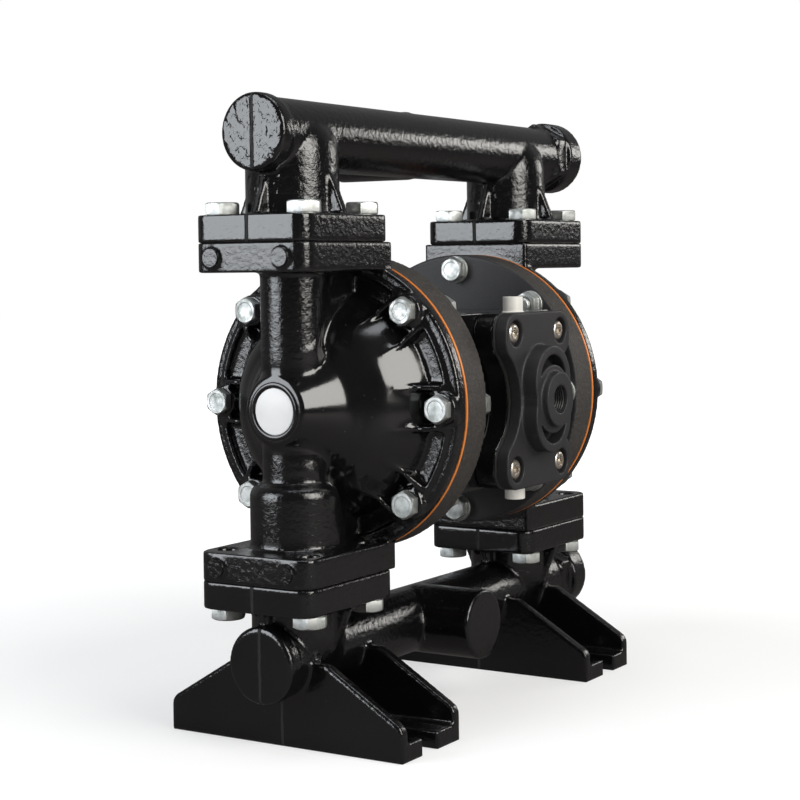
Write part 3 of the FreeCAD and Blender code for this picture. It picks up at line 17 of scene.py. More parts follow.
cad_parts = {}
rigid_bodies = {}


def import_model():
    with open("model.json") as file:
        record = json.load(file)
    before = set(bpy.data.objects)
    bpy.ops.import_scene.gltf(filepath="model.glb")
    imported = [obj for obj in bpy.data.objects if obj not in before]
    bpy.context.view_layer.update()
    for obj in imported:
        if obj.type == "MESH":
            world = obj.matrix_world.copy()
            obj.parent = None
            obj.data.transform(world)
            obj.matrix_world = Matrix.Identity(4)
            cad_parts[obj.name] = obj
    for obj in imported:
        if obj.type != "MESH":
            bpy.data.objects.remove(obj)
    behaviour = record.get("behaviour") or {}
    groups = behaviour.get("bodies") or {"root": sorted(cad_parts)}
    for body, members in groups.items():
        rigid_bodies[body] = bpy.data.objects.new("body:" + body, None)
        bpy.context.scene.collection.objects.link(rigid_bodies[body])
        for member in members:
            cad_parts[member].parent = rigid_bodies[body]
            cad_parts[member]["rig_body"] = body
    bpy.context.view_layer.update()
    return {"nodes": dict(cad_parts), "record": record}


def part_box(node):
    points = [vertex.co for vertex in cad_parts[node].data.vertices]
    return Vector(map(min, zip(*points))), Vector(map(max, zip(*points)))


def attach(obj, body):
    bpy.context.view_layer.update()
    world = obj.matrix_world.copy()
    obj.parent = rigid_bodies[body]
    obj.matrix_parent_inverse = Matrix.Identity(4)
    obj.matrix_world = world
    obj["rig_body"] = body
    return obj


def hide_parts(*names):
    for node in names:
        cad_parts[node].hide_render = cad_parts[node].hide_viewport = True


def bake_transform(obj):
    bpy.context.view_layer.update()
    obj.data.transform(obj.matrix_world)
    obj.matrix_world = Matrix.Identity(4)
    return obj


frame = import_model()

bl_info = {
    "name": "Diaphragm Pump Looks",
    "version": (1, 0, 0),
    "blender": (4, 5, 0),
    "location": "3D Viewport > Sidebar > Pump",
    "description": "Dresses a packed double diaphragm pump in cast paint, zinc fasteners and soft seals",
    "category": "Object",
}

NODES = frame["nodes"]
MM = 0.001
SIDES = ("left", "right")

# Sizes that the frame doesn't hold
FLANGE_TOP = 24 * MM  # top of the outlet manifold's flange above its foot
SAME_POINT = 0.001 * MM
CAP_BOLT = (5.3 * MM, 4.0 * MM)  # head height and shank radius
FLANGE_BOLT = (6.4 * MM, 5.0 * MM)
NUT_BORE, WASHER_BORE = 4.02 * MM, 4.2 * MM
CHAMFER_START = 0.475  # radius where a hexagon's chamfer starts, as a share of its width across flats
SECTORS = 12  # pieces that a diaphragm is cut into

# How finely shapes are made
CRISP_SHARE = 0.15  # share of the smoothing that a machined face gets
DOME_PASSES = 40  # smoothing passes over a dome's skin
BLOCK_CELLS = 1.4  # cell size of the valve block, over that of the valve cover
RING_POINTS, FINE_POINTS, NUB_POINTS, WASHER_POINTS = 48, 96, 64, 40  # points round a ring
THREAD_ROWS = 6  # rings in one turn of a thread
LONGEST_EDGE = 3 * MM  # of a diaphragm's sectors


# Places that several pieces share, read from the CAD frame


def shaft_point():
    """Where the rod's line crosses the middle of the pump."""
    body, rod = (sum(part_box(node), Vector()) / 2 for node in ("center_body", "connecting_rod"))
    return Vector((body.x, rod.y, rod.z))


MIDDLE = shaft_point()


def loose_parts(node):
    """Lowest and highest corner of each separate solid in a CAD node."""
    bm = bmesh.new()
    bm.from_mesh(NODES[node].data)
    bmesh.ops.remove_doubles(bm, verts=bm.verts, dist=SAME_POINT)
    unseen = set(bm.verts)
    boxes = []
    while unseen:
        front = [unseen.pop()]
        low, high = front[0].co.copy(), front[0].co.copy()
        while front:
            vert = front.pop()
            low = Vector(map(min, low, vert.co))
            high = Vector(map(max, high, vert.co))
            for edge in vert.link_edges:
                other = edge.other_vert(vert)
                if other in unseen:
                    unseen.discard(other)
                    front.append(other)
        boxes.append((low, high))
    bm.free()
    return sorted(boxes, key=lambda box: tuple(box[0]))


# Settings that a user would change


def colour_setting(name, description, default):
    return FloatVectorProperty(
        name=name, description=description, subtype="COLOR", size=3, min=0, max=1, default=default)


def share_setting(name, description, default):
    return FloatProperty(name=name, description=description, subtype="FACTOR", min=0, max=1, default=default)


def length_setting(name, description, default, low, high):
    return FloatProperty(
        name=name, description=description, subtype="DISTANCE", unit="LENGTH",
        min=low, max=high, default=default)


def angle_setting(name, description, default, low=-180, high=180):
    """An angle, with its default and limits given in degrees."""
    low, high, default = (math.radians(angle) for angle in (low, high, default))
    return FloatProperty(
        name=name, description=description, subtype="ANGLE", unit="ROTATION",
        min=low, max=high, default=default)


def brightness_setting(name, description, default, high):
    return FloatProperty(name=name, description=description, min=0, max=high, default=default)


class PaintSettings(bpy.types.PropertyGroup):
    """Colours and shine of the painted castings."""

    gloss_colour: colour_setting(
        "Gloss paint", "Colour of the black paint on the fluid caps and manifolds", (0.0040, 0.0038, 0.0042))
    satin_colour: colour_setting(
        "Satin paint", "Colour of the charcoal coat on the valve cover and air caps", (0.022, 0.021, 0.023))
    bare_colour: colour_setting(
        "Bare rim", "Colour of the grainy rim round each air cap", (0.034, 0.030, 0.027))
    gloss_roughness: share_setting(
        "Gloss roughness", "Roughness of the black paint where it is smoothest", 0.055)
    satin_roughness: share_setting("Satin roughness", "Roughness of the charcoal coat", 0.46)
    peel_width: length_setting(
        "Orange peel", "Width of one bump in the sprayed paint", 2.6 * MM, 0.2 * MM, 20 * MM)


class CastingSettings(bpy.types.PropertyGroup):
    """How finely the castings are rebuilt and how round their edges get."""

    grain: length_setting(
        "Cell size", "Cell size with which the large castings are rebuilt", 0.95 * MM, 0.3 * MM, 5 * MM)
    fine_grain: length_setting(
        "Fine cell size", "Cell size for the valve cover and the valve block", 0.5 * MM, 0.2 * MM, 5 * MM)
    rounding: IntProperty(
        name="Rounding passes", description="Smoothing passes that round the cast edges",
        min=0, max=40, default=9)
    crisp_depth: length_setting(
        "Machined edge", "Distance from a machined face within which edges stay crisp", 2.2 * MM, 0, 10 * MM)


class FastenerSettings(bpy.types.PropertyGroup):
    """Shapes and colours of the bolts, nuts and screws."""

    zinc_colour: colour_setting(
        "Zinc", "Colour of the zinc plated bolts, nuts and washers", (0.74, 0.75, 0.74))
    screw_colour: colour_setting(
        "Cover screws", "Colour of the six-lobe screws in the valve cover", (0.80, 0.75, 0.68))
    crown_angle: angle_setting("Crown angle", "Slope of the turned chamfer on a hexagon head", 30, 0, 60)
    thread_pitch: length_setting(
        "Bolt pitch", "Distance between two turns of the bolts' thread", 1.25 * MM, 0.5 * MM, 4 * MM)


class SoftSettings(bpy.types.PropertyGroup):
    """Colours of the diaphragms, plugs and seals."""

    diaphragm_colour: colour_setting(
        "Diaphragm", "Colour of the diaphragm edge that shows between the castings", (0.68, 0.20, 0.030))
    plug_colour: colour_setting(
        "Plugs", "Colour of the moulded plugs at the ends of the valve block", (0.80, 0.78, 0.73))
    disc_colour: colour_setting("Disc", "Colour of the plain disc on the left cap", (0.80, 0.80, 0.80))


class StageSettings(bpy.types.PropertyGroup):
    """Camera, lamps and floor."""

    eye: FloatVectorProperty(
        name="Camera place", description="Where the camera stands",
        subtype="TRANSLATION", unit="LENGTH", size=3, default=(-0.8621, -0.53805, 0.2426))
    yaw: angle_setting("Yaw", "Turn of the view from +X towards +Y", 31.2)
    pitch: angle_setting("Pitch", "Tilt of the view above the horizon", -1.55)
    roll: angle_setting("Roll", "Turn of the picture about the line of sight", -0.69)
    lens: FloatProperty(
        name="Lens", description="Focal length on a 36 mm wide sensor",
        subtype="DISTANCE_CAMERA", min=10, max=300, default=81.0)
    shift: FloatVectorProperty(
        name="Shift", description="Shift of the picture as a share of its width",
        size=2, default=(-0.070, -0.108))
    room_light: brightness_setting("Room light", "Even light from all round", 0.35, 2)
    room_gloss: brightness_setting(
        "Room in gloss", "Brightness of the dim studio behind the camera, as gloss shows it", 0.04, 2)
    backdrop_gloss: brightness_setting(
        "Backdrop in gloss", "Brightness of the white backdrop, as gloss shows it", 0.17, 2)
    left_light: brightness_setting("Left softbox", "Radiance of the softbox at the far left", 5.0, 40)
    right_light: brightness_setting("Right softbox", "Radiance of the softbox at the near right", 6.5, 40)
    far_light: brightness_setting("Far softbox", "Radiance of the narrow softbox at the far right", 5.0, 40)
    top_light: brightness_setting("Top softbox", "Radiance of the softbox overhead", 3.0, 40)


# Shader node groups


def value_group(name, inputs, outputs):
    """An empty node group over a vector, with number inputs and outputs, and the sockets of its two ends."""
    group = bpy.data.node_groups.new(name, "ShaderNodeTree")
    group.interface.new_socket("Vector", in_out="INPUT", socket_type="NodeSocketVector")
    for label, default in inputs.items():
        socket = group.interface.new_socket(label, in_out="INPUT", socket_type="NodeSocketFloat")
        socket.default_value = default
    for label in outputs:
        group.interface.new_socket(label, in_out="OUTPUT", socket_type="NodeSocketFloat")
    return group, group.nodes.new("NodeGroupInput").outputs, group.nodes.new("NodeGroupOutput").inputs


def math_node(tree, operation, first, second=None, clamp=False):
    """A Math node with two inputs, each a socket or a number, and its output."""
    node = tree.nodes.new("ShaderNodeMath")
    node.operation = operation
    node.use_clamp = clamp
    for slot, given in enumerate((first, second)):
        if isinstance(given, bpy.types.NodeSocket):
            tree.links.new(given, node.inputs[slot])
        elif given is not None:
            node.inputs[slot].default_value = given
    return node.outputs[0]


def times(tree, first, second):
    return math_node(tree, "MULTIPLY", first, second)


def vector_node(tree, operation, vector, second=None, output="Value"):
    """A Vector Math node over a socket and a fixed vector, and one of its outputs."""
    node = tree.nodes.new("ShaderNodeVectorMath")
    node.operation = operation
    tree.links.new(vector, node.inputs[0])
    if second is not None:
        node.inputs[1].default_value = second
    return node.outputs[output]


def split(tree, vector):
    """The X, Y and Z of a vector."""
    node = tree.nodes.new("ShaderNodeSeparateXYZ")
    tree.links.new(vector, node.inputs["Vector"])
    return node.outputs


def remap(tree, value, low, high, to_low=0.0, to_high=1.0):
    """Maps a value from one range to another, clamped."""
    node = tree.nodes.new("ShaderNodeMapRange")
    tree.links.new(value, node.inputs["Value"])
    limits = {"From Min": low, "From Max": high, "To Min": to_low, "To Max": to_high}
    for label, number in limits.items():
        node.inputs[label].default_value = number
    return node.outputs["Result"]


def noise(tree, vector, scale, detail=2.0, roughness=0.5):
    """A noise texture's value, at a scale given as a socket or a number."""
    node = tree.nodes.new("ShaderNodeTexNoise")
    tree.links.new(vector, node.inputs["Vector"])
    if isinstance(scale, bpy.types.NodeSocket):
        tree.links.new(scale, node.inputs["Scale"])
    else:
        node.inputs["Scale"].default_value = scale
    node.inputs["Detail"].default_value = detail
    node.inputs["Roughness"].default_value = roughness
    return node.outputs["Fac"]


def peel_group():
    """Sprayed paint over a cast surface: broad soft bumps with a finer grain on them."""
    group, given, made = value_group(
        "Orange Peel", {"Width": 2.6 * MM, "Grain": 0.3}, ("Height", "Unevenness"))
    vector = given["Vector"]
    scale = math_node(group, "DIVIDE", 1.0, given["Width"])
    broad = noise(group, vector, scale, detail=1.0)
    fine = noise(group, vector, times(group, scale, 4.2))
    grain = times(group, fine, given["Grain"])
    group.links.new(math_node(group, "ADD", broad, grain), made["Height"])
    group.links.new(noise(group, vector, scale=38.0, detail=3.0), made["Unevenness"])
    return group


def speck_group():
    """Small separate specks, such as dust in the paint or pits in a casting."""
    group, given, made = value_group("Specks", {"Spacing": 4 * MM, "Size": 0.1}, ("Mask",))
    cells = group.nodes.new("ShaderNodeTexVoronoi")
    group.links.new(given["Vector"], cells.inputs["Vector"])
    group.links.new(math_node(group, "DIVIDE", 1.0, given["Spacing"]), cells.inputs["Scale"])
    pick = group.nodes.new("ShaderNodeSeparateColor")
    group.links.new(cells.outputs["Color"], pick.inputs["Color"])
    reach = times(group, pick.outputs[0], given["Size"])
    group.links.new(math_node(group, "LESS_THAN", cells.outputs["Distance"], reach), made["Mask"])
    return group


def wear_group():
    """Where an edge stands proud and its paint is thin or chipped."""
    group, given, made = value_group("Edge Wear", {"Start": 0.53, "Chip Scale": 420.0}, ("Mask",))
    shape = group.nodes.new("ShaderNodeNewGeometry")
    proud = math_node(group, "SUBTRACT", shape.outputs["Pointiness"], given["Start"])
    edge = math_node(group, "MULTIPLY", proud, 14.0, clamp=True)
    chips = noise(group, given["Vector"], given["Chip Scale"], detail=3.0, roughness=0.6)
    chipped = remap(group, chips, 0.52, 0.62)
    group.links.new(times(group, edge, chipped), made["Mask"])
    return group


def zone_group():
    """Where a fluid cap kept its rough sand-cast skin: outside the dome and on the upright columns."""
    group, given, made = value_group(
        "Cast Skin", {"Dome": 60 * MM, "Reach": 112 * MM, "Web": 22 * MM}, ("Mask",))
    away = vector_node(group, "SUBTRACT", given["Vector"], MIDDLE, "Vector")
    across, along_y, upright = split(group, away)
    squares = [math_node(group, "POWER", part, 2.0) for part in (along_y, upright)]
    radius = math_node(group, "SQRT", math_node(group, "ADD", *squares))

    def beyond(value, limit, fade):
        return math_node(group, "DIVIDE", math_node(group, "SUBTRACT", value, limit), fade, clamp=True)

    rim = beyond(radius, given["Dome"], 4 * MM)
    front = beyond(math_node(group, "ABSOLUTE", across), given["Reach"], 3 * MM)
    column = beyond(math_node(group, "ABSOLUTE", upright), given["Web"], 4 * MM)
    upper = times(group, front, column)
    group.links.new(math_node(group, "MAXIMUM", rim, upper), made["Mask"])
    return group


def seam_group():
    """A manifold's end faces, the mould's parting line down their middle, and the drum's own end face."""
    inputs = {"Middle": 0.0, "Width": 1.2 * MM, "Drum Foot": 250 * MM}
    group, given, made = value_group("Mould Seam", inputs, ("Mask", "End Face", "Drum End"))
    place = split(group, given["Vector"])
    wave = math_node(group, "SUBTRACT", noise(group, given["Vector"], scale=160.0), 0.5)
    wander = times(group, wave, 1 * MM)
    offset = math_node(group, "SUBTRACT", math_node(group, "ADD", place["Y"], wander), given["Middle"])
    share = math_node(group, "DIVIDE", math_node(group, "ABSOLUTE", offset), given["Width"])
    line = math_node(group, "SUBTRACT", 1.0, share, clamp=True)
    facing = split(group, group.nodes.new("ShaderNodeTexCoord").outputs["Normal"])
    end_face = math_node(group, "LESS_THAN", facing["X"], -0.8)
    above = math_node(group, "GREATER_THAN", place["Z"], given["Drum Foot"])
    group.links.new(times(group, line, end_face), made["Mask"])
    group.links.new(end_face, made["End Face"])
    group.links.new(times(group, above, end_face), made["Drum End"])
    return group


PEEL = peel_group()
SPECKS = speck_group()
WEAR = wear_group()
ZONES = zone_group()
SEAM = seam_group()


# Materials


def object_place(tree):
    """Where a point lies in the object's own coordinates."""
    return tree.nodes.new("ShaderNodeTexCoord").outputs["Object"]


def place_group(tree, group, **values):
    """Puts a node group into a material, over object coordinates, with its own values. Gives its outputs."""
    node = tree.nodes.new("ShaderNodeGroup")
    node.node_tree = group
    tree.links.new(object_place(tree), node.inputs["Vector"])
    for label, number in values.items():
        node.inputs[label.replace("_", " ")].default_value = number
    return node.outputs


def new_material(name, colour, roughness, metallic=0.0, ior=1.5):
    """A material with one Principled shader that holds the plain values."""
    made = bpy.data.materials.new(name)
    made.use_nodes = True
    shader = made.node_tree.nodes["Principled BSDF"]
    values = {"Base Color": (*colour, 1), "Roughness": roughness, "Metallic": metallic, "IOR": ior}
    for label, value in values.items():
        shader.inputs[label].default_value = value
    made.diffuse_color = (*colour, 1)
    return made, made.node_tree, shader


def mix_colour(tree, mask, under, over, share=1.0):
    """Blends two colours, each a socket or a triple, by a share of a mask."""
    if share < 1.0:
        mask = times(tree, mask, share)
    node = tree.nodes.new("ShaderNodeMix")
    node.data_type = "RGBA"
    tree.links.new(mask, node.inputs["Factor"])
    for label, given in (("A", under), ("B", over)):
        socket = next(s for s in node.inputs if s.name == label and s.type == "RGBA")
        if isinstance(given, bpy.types.NodeSocket):
            tree.links.new(given, socket)
        else:
            socket.default_value = (*given, 1)
    return next(s for s in node.outputs if s.type == "RGBA")


def connect(tree, shader, colour, roughness, height, depth):
    """Feeds a colour, a roughness and bumps, whose height runs from 0 to depth in metres, to a shader."""
    bump = tree.nodes.new("ShaderNodeBump")
    bump.inputs["Strength"].default_value = 1.0
    bump.inputs["Distance"].default_value = depth
    tree.links.new(height, bump.inputs["Height"])
    tree.links.new(bump.outputs["Normal"], shader.inputs["Normal"])
    tree.links.new(colour, shader.inputs["Base Color"])
    if roughness is not None:
        tree.links.new(roughness, shader.inputs["Roughness"])


def scaled(colour, factor):
    return tuple(min(1.0, channel * factor) for channel in colour)


DUST, THIN_EDGE = (0.21, 0.21, 0.22), (0.16, 0.16, 0.17)  # colours of specks in the paint and of worn edges


def gloss_paint(name, peel_depth, peel_grain, dome_share=None, seam=False):
    """Sprayed gloss paint on a casting, with dust specks and thin edges.

    With a dome share, the bumps of a fluid cap's dome are that share of the bumps on its rough cast skin.
    With a seam, a manifold's end faces are calmer and show the mould's parting line, and the upper drum's
    end is lumpy.
    """
    paint = bpy.context.scene.pump_paint
    colour, low = paint.gloss_colour, paint.gloss_roughness
    made, tree, shader = new_material(name, colour, low, ior=1.7)
    peel = place_group(tree, PEEL, Width=paint.peel_width, Grain=peel_grain)
    specks = place_group(tree, SPECKS, Spacing=5.5 * MM, Size=0.075)
    wear = place_group(tree, WEAR, Start=0.56, Chip_Scale=520.0)
    uneven, height = peel["Unevenness"], peel["Height"]
    body = mix_colour(tree, uneven, scaled(colour, 0.75), scaled(colour, 1.5))
    dusty = mix_colour(tree, specks["Mask"], body, DUST, share=0.2)
    worn = mix_colour(tree, wear["Mask"], dusty, THIN_EDGE, share=0.25)
    shine = remap(tree, uneven, 0.35, 0.7, low, low + 0.06)
    if dome_share is not None:
        zone = place_group(tree, ZONES)["Mask"]
        height = times(tree, height, remap(tree, zone, 0.0, 1.0, dome_share, 1.0))
        shine = math_node(tree, "ADD", shine, remap(tree, zone, 0.0, 1.0, 0.055, 0.03))
    if seam:
        drum_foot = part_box("outlet_manifold")[0].z + FLANGE_TOP
        mould = place_group(tree, SEAM, Middle=MIDDLE.y, Drum_Foot=drum_foot)
        calm = remap(tree, mould["End Face"], 0.0, 1.0, 1.0, 0.45)
        lumps = noise(tree, object_place(tree), scale=250.0, detail=3.0, roughness=0.35)
        lumpy = times(tree, times(tree, lumps, mould["Drum End"]), 3.4)
        height = math_node(tree, "ADD", times(tree, height, calm), lumpy)
        height = math_node(tree, "SUBTRACT", height, times(tree, mould["Mask"], 1.6))
        shine = math_node(tree, "MAXIMUM", shine, times(tree, mould["Mask"], 0.85))
    connect(tree, shader, worn, shine, height, peel_depth)
    return made


def satin_coat(name, colour, depth=0.05 * MM):
    """Satin charcoal coat with a fine even grain, dust specks and painted glints."""
    rough = bpy.context.scene.pump_paint.satin_roughness
    made, tree, shader = new_material(name, colour, rough)
    peel = place_group(tree, PEEL, Width=0.9 * MM, Grain=0.8)
    specks = place_group(tree, SPECKS, Spacing=3.2 * MM, Size=0.11)
    wear = place_group(tree, WEAR, Start=0.535, Chip_Scale=300.0)
    body = mix_colour(tree, peel["Unevenness"], scaled(colour, 0.72), scaled(colour, 1.32))
    # Pale specks: dust in the coat, and painted glints that stand in for the coat's speckled highlights
    dusty = mix_colour(tree, specks["Mask"], body, scaled(colour, 3.2), share=0.5)
    worn = mix_colour(tree, wear["Mask"], dusty, scaled(colour, 3.0), share=0.4)
    shine = remap(tree, peel["Height"], 0.4, 1.4, rough - 0.06, rough + 0.16)
    connect(tree, shader, worn, shine, peel["Height"], depth)
    return made


def grainy_rim(name):
    """Sand-cast rim with brown and grey grains under a thin coat."""
    colour = bpy.context.scene.pump_paint.bare_colour
    made, tree, shader = new_material(name, colour, 0.62)
    peel = place_group(tree, PEEL, Width=0.75 * MM, Grain=0.9)
    grains = place_group(tree, SPECKS, Spacing=0.8 * MM, Size=0.55)
    tone = remap(tree, peel["Height"], 0.55, 1.35)
    body = mix_colour(tree, tone, scaled(colour, 0.3), scaled(colour, 1.5))
    speckled = mix_colour(tree, grains["Mask"], body, scaled(colour, 3.2), share=0.5)
    connect(tree, shader, speckled, None, peel["Height"], 0.09 * MM)
    return made


def plated(name, colour, roughness, stain):
    """Plated steel: bright metal with faint stains and uneven shine."""
    made, tree, shader = new_material(name, colour, roughness, metallic=1.0)
    peel = place_group(tree, PEEL, Width=1.6 * MM, Grain=0.5)
    cloud = noise(tree, object_place(tree), scale=210.0, detail=3.0)
    tone = mix_colour(tree, remap(tree, cloud, 0.35, 0.7), colour, stain)
    shine = remap(tree, cloud, 0.3, 0.7, roughness * 0.75, roughness * 1.5)
    connect(tree, shader, tone, shine, peel["Height"], 0.03 * MM)
    return made


def moulded(name, colour, roughness, depth=0.02 * MM):
    """Moulded plastic or rubber with a soft, faintly cloudy surface."""
    made, tree, shader = new_material(name, colour, roughness)
    peel = place_group(tree, PEEL, Width=1.1 * MM, Grain=0.6)
    tone = mix_colour(tree, peel["Unevenness"], scaled(colour, 0.86), scaled(colour, 1.08))
    shine = remap(tree, peel["Height"], 0.4, 1.3, roughness - 0.05, roughness + 0.1)
    connect(tree, shader, tone, shine, peel["Height"], depth)
    return made


def all_materials():
    """Every material of the pump, by the name used in this file."""
    paint = bpy.context.scene.pump_paint
    metal = bpy.context.scene.pump_fasteners
    soft = bpy.context.scene.pump_soft
    return {
        "cap paint": gloss_paint("CapPaint", 0.22 * MM, 0.45, dome_share=0.08),
        "manifold paint": gloss_paint("ManifoldPaint", 0.27 * MM, 0.4, seam=True),
        "body paint": gloss_paint("BodyPaint", 0.07 * MM, 0.5),
        "satin": satin_coat("SatinCoat", paint.satin_colour),
        "cover satin": satin_coat("CoverCoat", scaled(paint.satin_colour, 0.9), 0.03 * MM),
        "rim": grainy_rim("GrainyRim"),
        "zinc": plated("Zinc", metal.zinc_colour, 0.43, (0.48, 0.51, 0.49)),
        "screw": plated("ScrewMetal", metal.screw_colour, 0.34, (0.60, 0.53, 0.45)),
        "steel": plated("GroundSteel", (0.60, 0.60, 0.61), 0.16, (0.48, 0.48, 0.50)),
        "aluminium": plated("TurnedAluminium", (0.68, 0.68, 0.69), 0.3, (0.58, 0.58, 0.60)),
        "bronze": plated("Bronze", (0.55, 0.36, 0.16), 0.32, (0.40, 0.25, 0.11)),
        "diaphragm": moulded("DiaphragmRubber", soft.diaphragm_colour, 0.42),
        "seal": moulded("BlackRubber", (0.022, 0.022, 0.023), 0.5),
        "gasket": moulded("GasketSheet", (0.045, 0.044, 0.043), 0.62),
        "plug": moulded("WhitePlug", soft.plug_colour, 0.36),
        "disc": moulded("WhiteDisc", soft.disc_colour, 0.22, 0.006 * MM),
        "ball": moulded("BallRubber", (0.70, 0.69, 0.65), 0.34),
        "seat": moulded("RingPlastic", (0.74, 0.72, 0.66), 0.38),
    }


MATERIALS = {}


def material(name):
    if not MATERIALS:
        MATERIALS.update(all_materials())
    return MATERIALS[name]


# Making and placing pieces


def new_object(name, data):
    """Puts a new object into the scene."""
    made = bpy.data.objects.new(name, data)
    bpy.context.scene.collection.objects.link(made)
    return made


def add_piece(name, mesh, finish, body, nodes):
    """Puts a mesh into the scene as the piece that stands for some CAD nodes."""
    piece = new_object(name, mesh)
    if not mesh.materials:
        mesh.materials.append(material(finish))
    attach(piece, body)
    if nodes:
        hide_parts(*nodes)
    return piece


def modify(piece, kind, **values):
    """Adds a modifier with its settings."""
    modifier = piece.modifiers.new(kind.title(), kind)
    for label, value in values.items():
        setattr(modifier, label, value)


def baked(piece):
    """Applies a piece's modifiers to its mesh."""
    bpy.context.view_layer.update()
    graph = bpy.context.evaluated_depsgraph_get()
    mesh = bpy.data.meshes.new_from_object(piece.evaluated_get(graph))
    old = piece.data
    piece.modifiers.clear()
    piece.data = mesh
    bpy.data.meshes.remove(old)
    return mesh


def smoothed(piece, weights, passes):
    """Smooths a piece as far as a vertex group says."""
    modify(piece, "SMOOTH", factor=0.5, iterations=passes, vertex_group=weights.name)
    mesh = baked(piece)
    piece.vertex_groups.clear()
    mesh.shade_smooth()


def slot_of(node):
    """The record's material slot of a CAD node."""
    for part in frame["record"]["subparts"]:
        if part["node"] == node:
            return part["material_slot"]
    raise KeyError(f"the record has no sub-part {node}")


def copy_of(node, name, finish):
    """A copy of a CAD node's mesh as the piece that stands for the node."""
    mesh = NODES[node].data.copy()
    mesh.materials.clear()
    return add_piece(name, mesh, finish, NODES[node]["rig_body"], [node])


def ends_of(node, *ends):
    """Machined faces at the ends of a CAD node's box, such as "x-" or "z+", as (axis, place) pairs."""
    corners = dict(zip("-+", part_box(node)))
    return [("xyz".index(axis), corners[sign]["xyz".index(axis)]) for axis, sign in ends]


def cast_copy(node, name, finish, planes, cell=None, passes=None):
    """A copy of a CAD casting with rounded cast edges that stay crisp at its machined faces."""
    casting = bpy.context.scene.pump_casting
    piece = copy_of(node, name, finish)
    modify(piece, "REMESH", mode="VOXEL", voxel_size=cell or casting.grain)
    mesh = baked(piece)
    weights = piece.vertex_groups.new(name="Cast")
    for vert in mesh.vertices:
        distance = min(abs(vert.co[axis] - place) for axis, place in planes)
        weights.add([vert.index], min(1.0, CRISP_SHARE + distance / casting.crisp_depth), "REPLACE")
    smoothed(piece, weights, passes or casting.rounding)
    return piece


def rounded_copy(node, name, finish, edge):
    """A copy of a small CAD piece with its sharp edges rounded."""
    piece = copy_of(node, name, finish)
    modify(piece, "WELD", merge_threshold=SAME_POINT)
    modify(piece, "DECIMATE", decimate_type="DISSOLVE", angle_limit=math.radians(0.5))
    modify(piece, "BEVEL", width=edge, segments=4, limit_method="ANGLE", angle_limit=math.radians(40))
    mesh = baked(piece)
    mesh.shade_smooth()
    mesh.set_sharp_from_angle(angle=math.radians(30))


def dress_node(node, finish):
    """Gives a CAD node its material and leaves its shape alone."""
    shape = NODES[node].data
    shape.materials.clear()
    shape.materials.append(material(finish))


# Round and six-sided skins


def polar(radius, angle, height):
    return Vector((radius * math.cos(angle), radius * math.sin(angle), height))


def round_ring(radius, height, count=RING_POINTS):
    return [polar(radius, i * math.tau / count, height) for i in range(count)]


def hexagon_ring(across, height, crown=None):
    """A hexagon's outline. With a crown (radius, slope), its corners drop away as a turned chamfer does."""
    ring = []
    for i in range(RING_POINTS):
        angle = math.tau * i / RING_POINTS
        radius = across / 2 / math.cos((angle + math.pi / 6) % (math.pi / 3) - math.pi / 6)
        drop = max(0.0, radius - crown[0]) * crown[1] if crown else 0.0
        ring.append(polar(radius, angle, height - drop))
    return ring


def lobed_ring(radius, lobe, height):
    """The outline of a six-lobe recess."""
    angles = [math.tau * i / RING_POINTS for i in range(RING_POINTS)]
    return [polar(radius + lobe * math.cos(6 * angle), angle, height) for angle in angles]


def thread_rings(radius, depth, pitch, start, end, count=RING_POINTS):
    """Rings of a helical thread: their radius rises and falls along the axis and turns with the angle."""
    steps = max(2, round((end - start) / pitch * THREAD_ROWS))
    rings = []
    for step in range(steps + 1):
        height = start + (end - start) * step / steps
        fade = min(1.0, (height - start) / pitch, (end - height) / pitch)
        ring = []
        for i in range(count):
            phase = (height / pitch - i / count) % 1.0
            cut = depth * fade * (1 - abs(2 * phase - 1))
            ring.append(polar(radius - cut, math.tau * i / count, height))
        rings.append(ring)
    return rings


def add_skin(bm, rings, place, joined=False):
    """Joins rings of points to one closed skin: capped at both ends, or joined from last to first."""
    loops = [[bm.verts.new(place @ point) for point in ring] for ring in rings]
    pairs = list(zip(loops, loops[1:]))
    if joined:
        pairs.append((loops[-1], loops[0]))
    for lower, upper in pairs:
        for i in range(len(lower)):
            j = (i + 1) % len(lower)
            bm.faces.new((lower[i], lower[j], upper[j], upper[i]))
    if not joined:
        bm.faces.new(list(reversed(loops[0])))
        bm.faces.new(loops[-1])


def finished_mesh(bm, name, sharp=35, bevel=0.0):
    """Turns a skin into a mesh: consistent normals, sharp edges kept sharp, and small bevels."""
    bmesh.ops.recalc_face_normals(bm, faces=bm.faces)
    if bevel:
        edges = [edge for edge in bm.edges if edge.calc_face_angle(0) > math.radians(38)]
        bmesh.ops.bevel(
            bm, geom=edges, offset=bevel, segments=2, profile=0.6, affect="EDGES", clamp_overlap=True)
    for edge in bm.edges:
        edge.smooth = edge.calc_face_angle(0) < math.radians(sharp)
    for face in bm.faces:
        face.smooth = True
    mesh = bpy.data.meshes.new(name)
    bm.to_mesh(mesh)
    bm.free()
    return mesh


def along(axis, sign, origin):
    """A placement whose Z runs along X, Y or Z in the given direction from an origin."""
    direction = Vector((0, 0, 0))
    direction["XYZ".index(axis)] = sign
    turn = direction.to_track_quat("Z", "Y").to_matrix().to_4x4()
    return Matrix.Translation(origin) @ turn


# Pieces of the pump


NUB_HEIGHT = 2.5 * MM
NUB_BACK = 5.0 * MM  # the zero of a nub's outline behind its end face
NUB_REACH, NUB_RISE = 21.3 * MM, 77.5 * MM  # place of the nubs beside and above the shaft's line
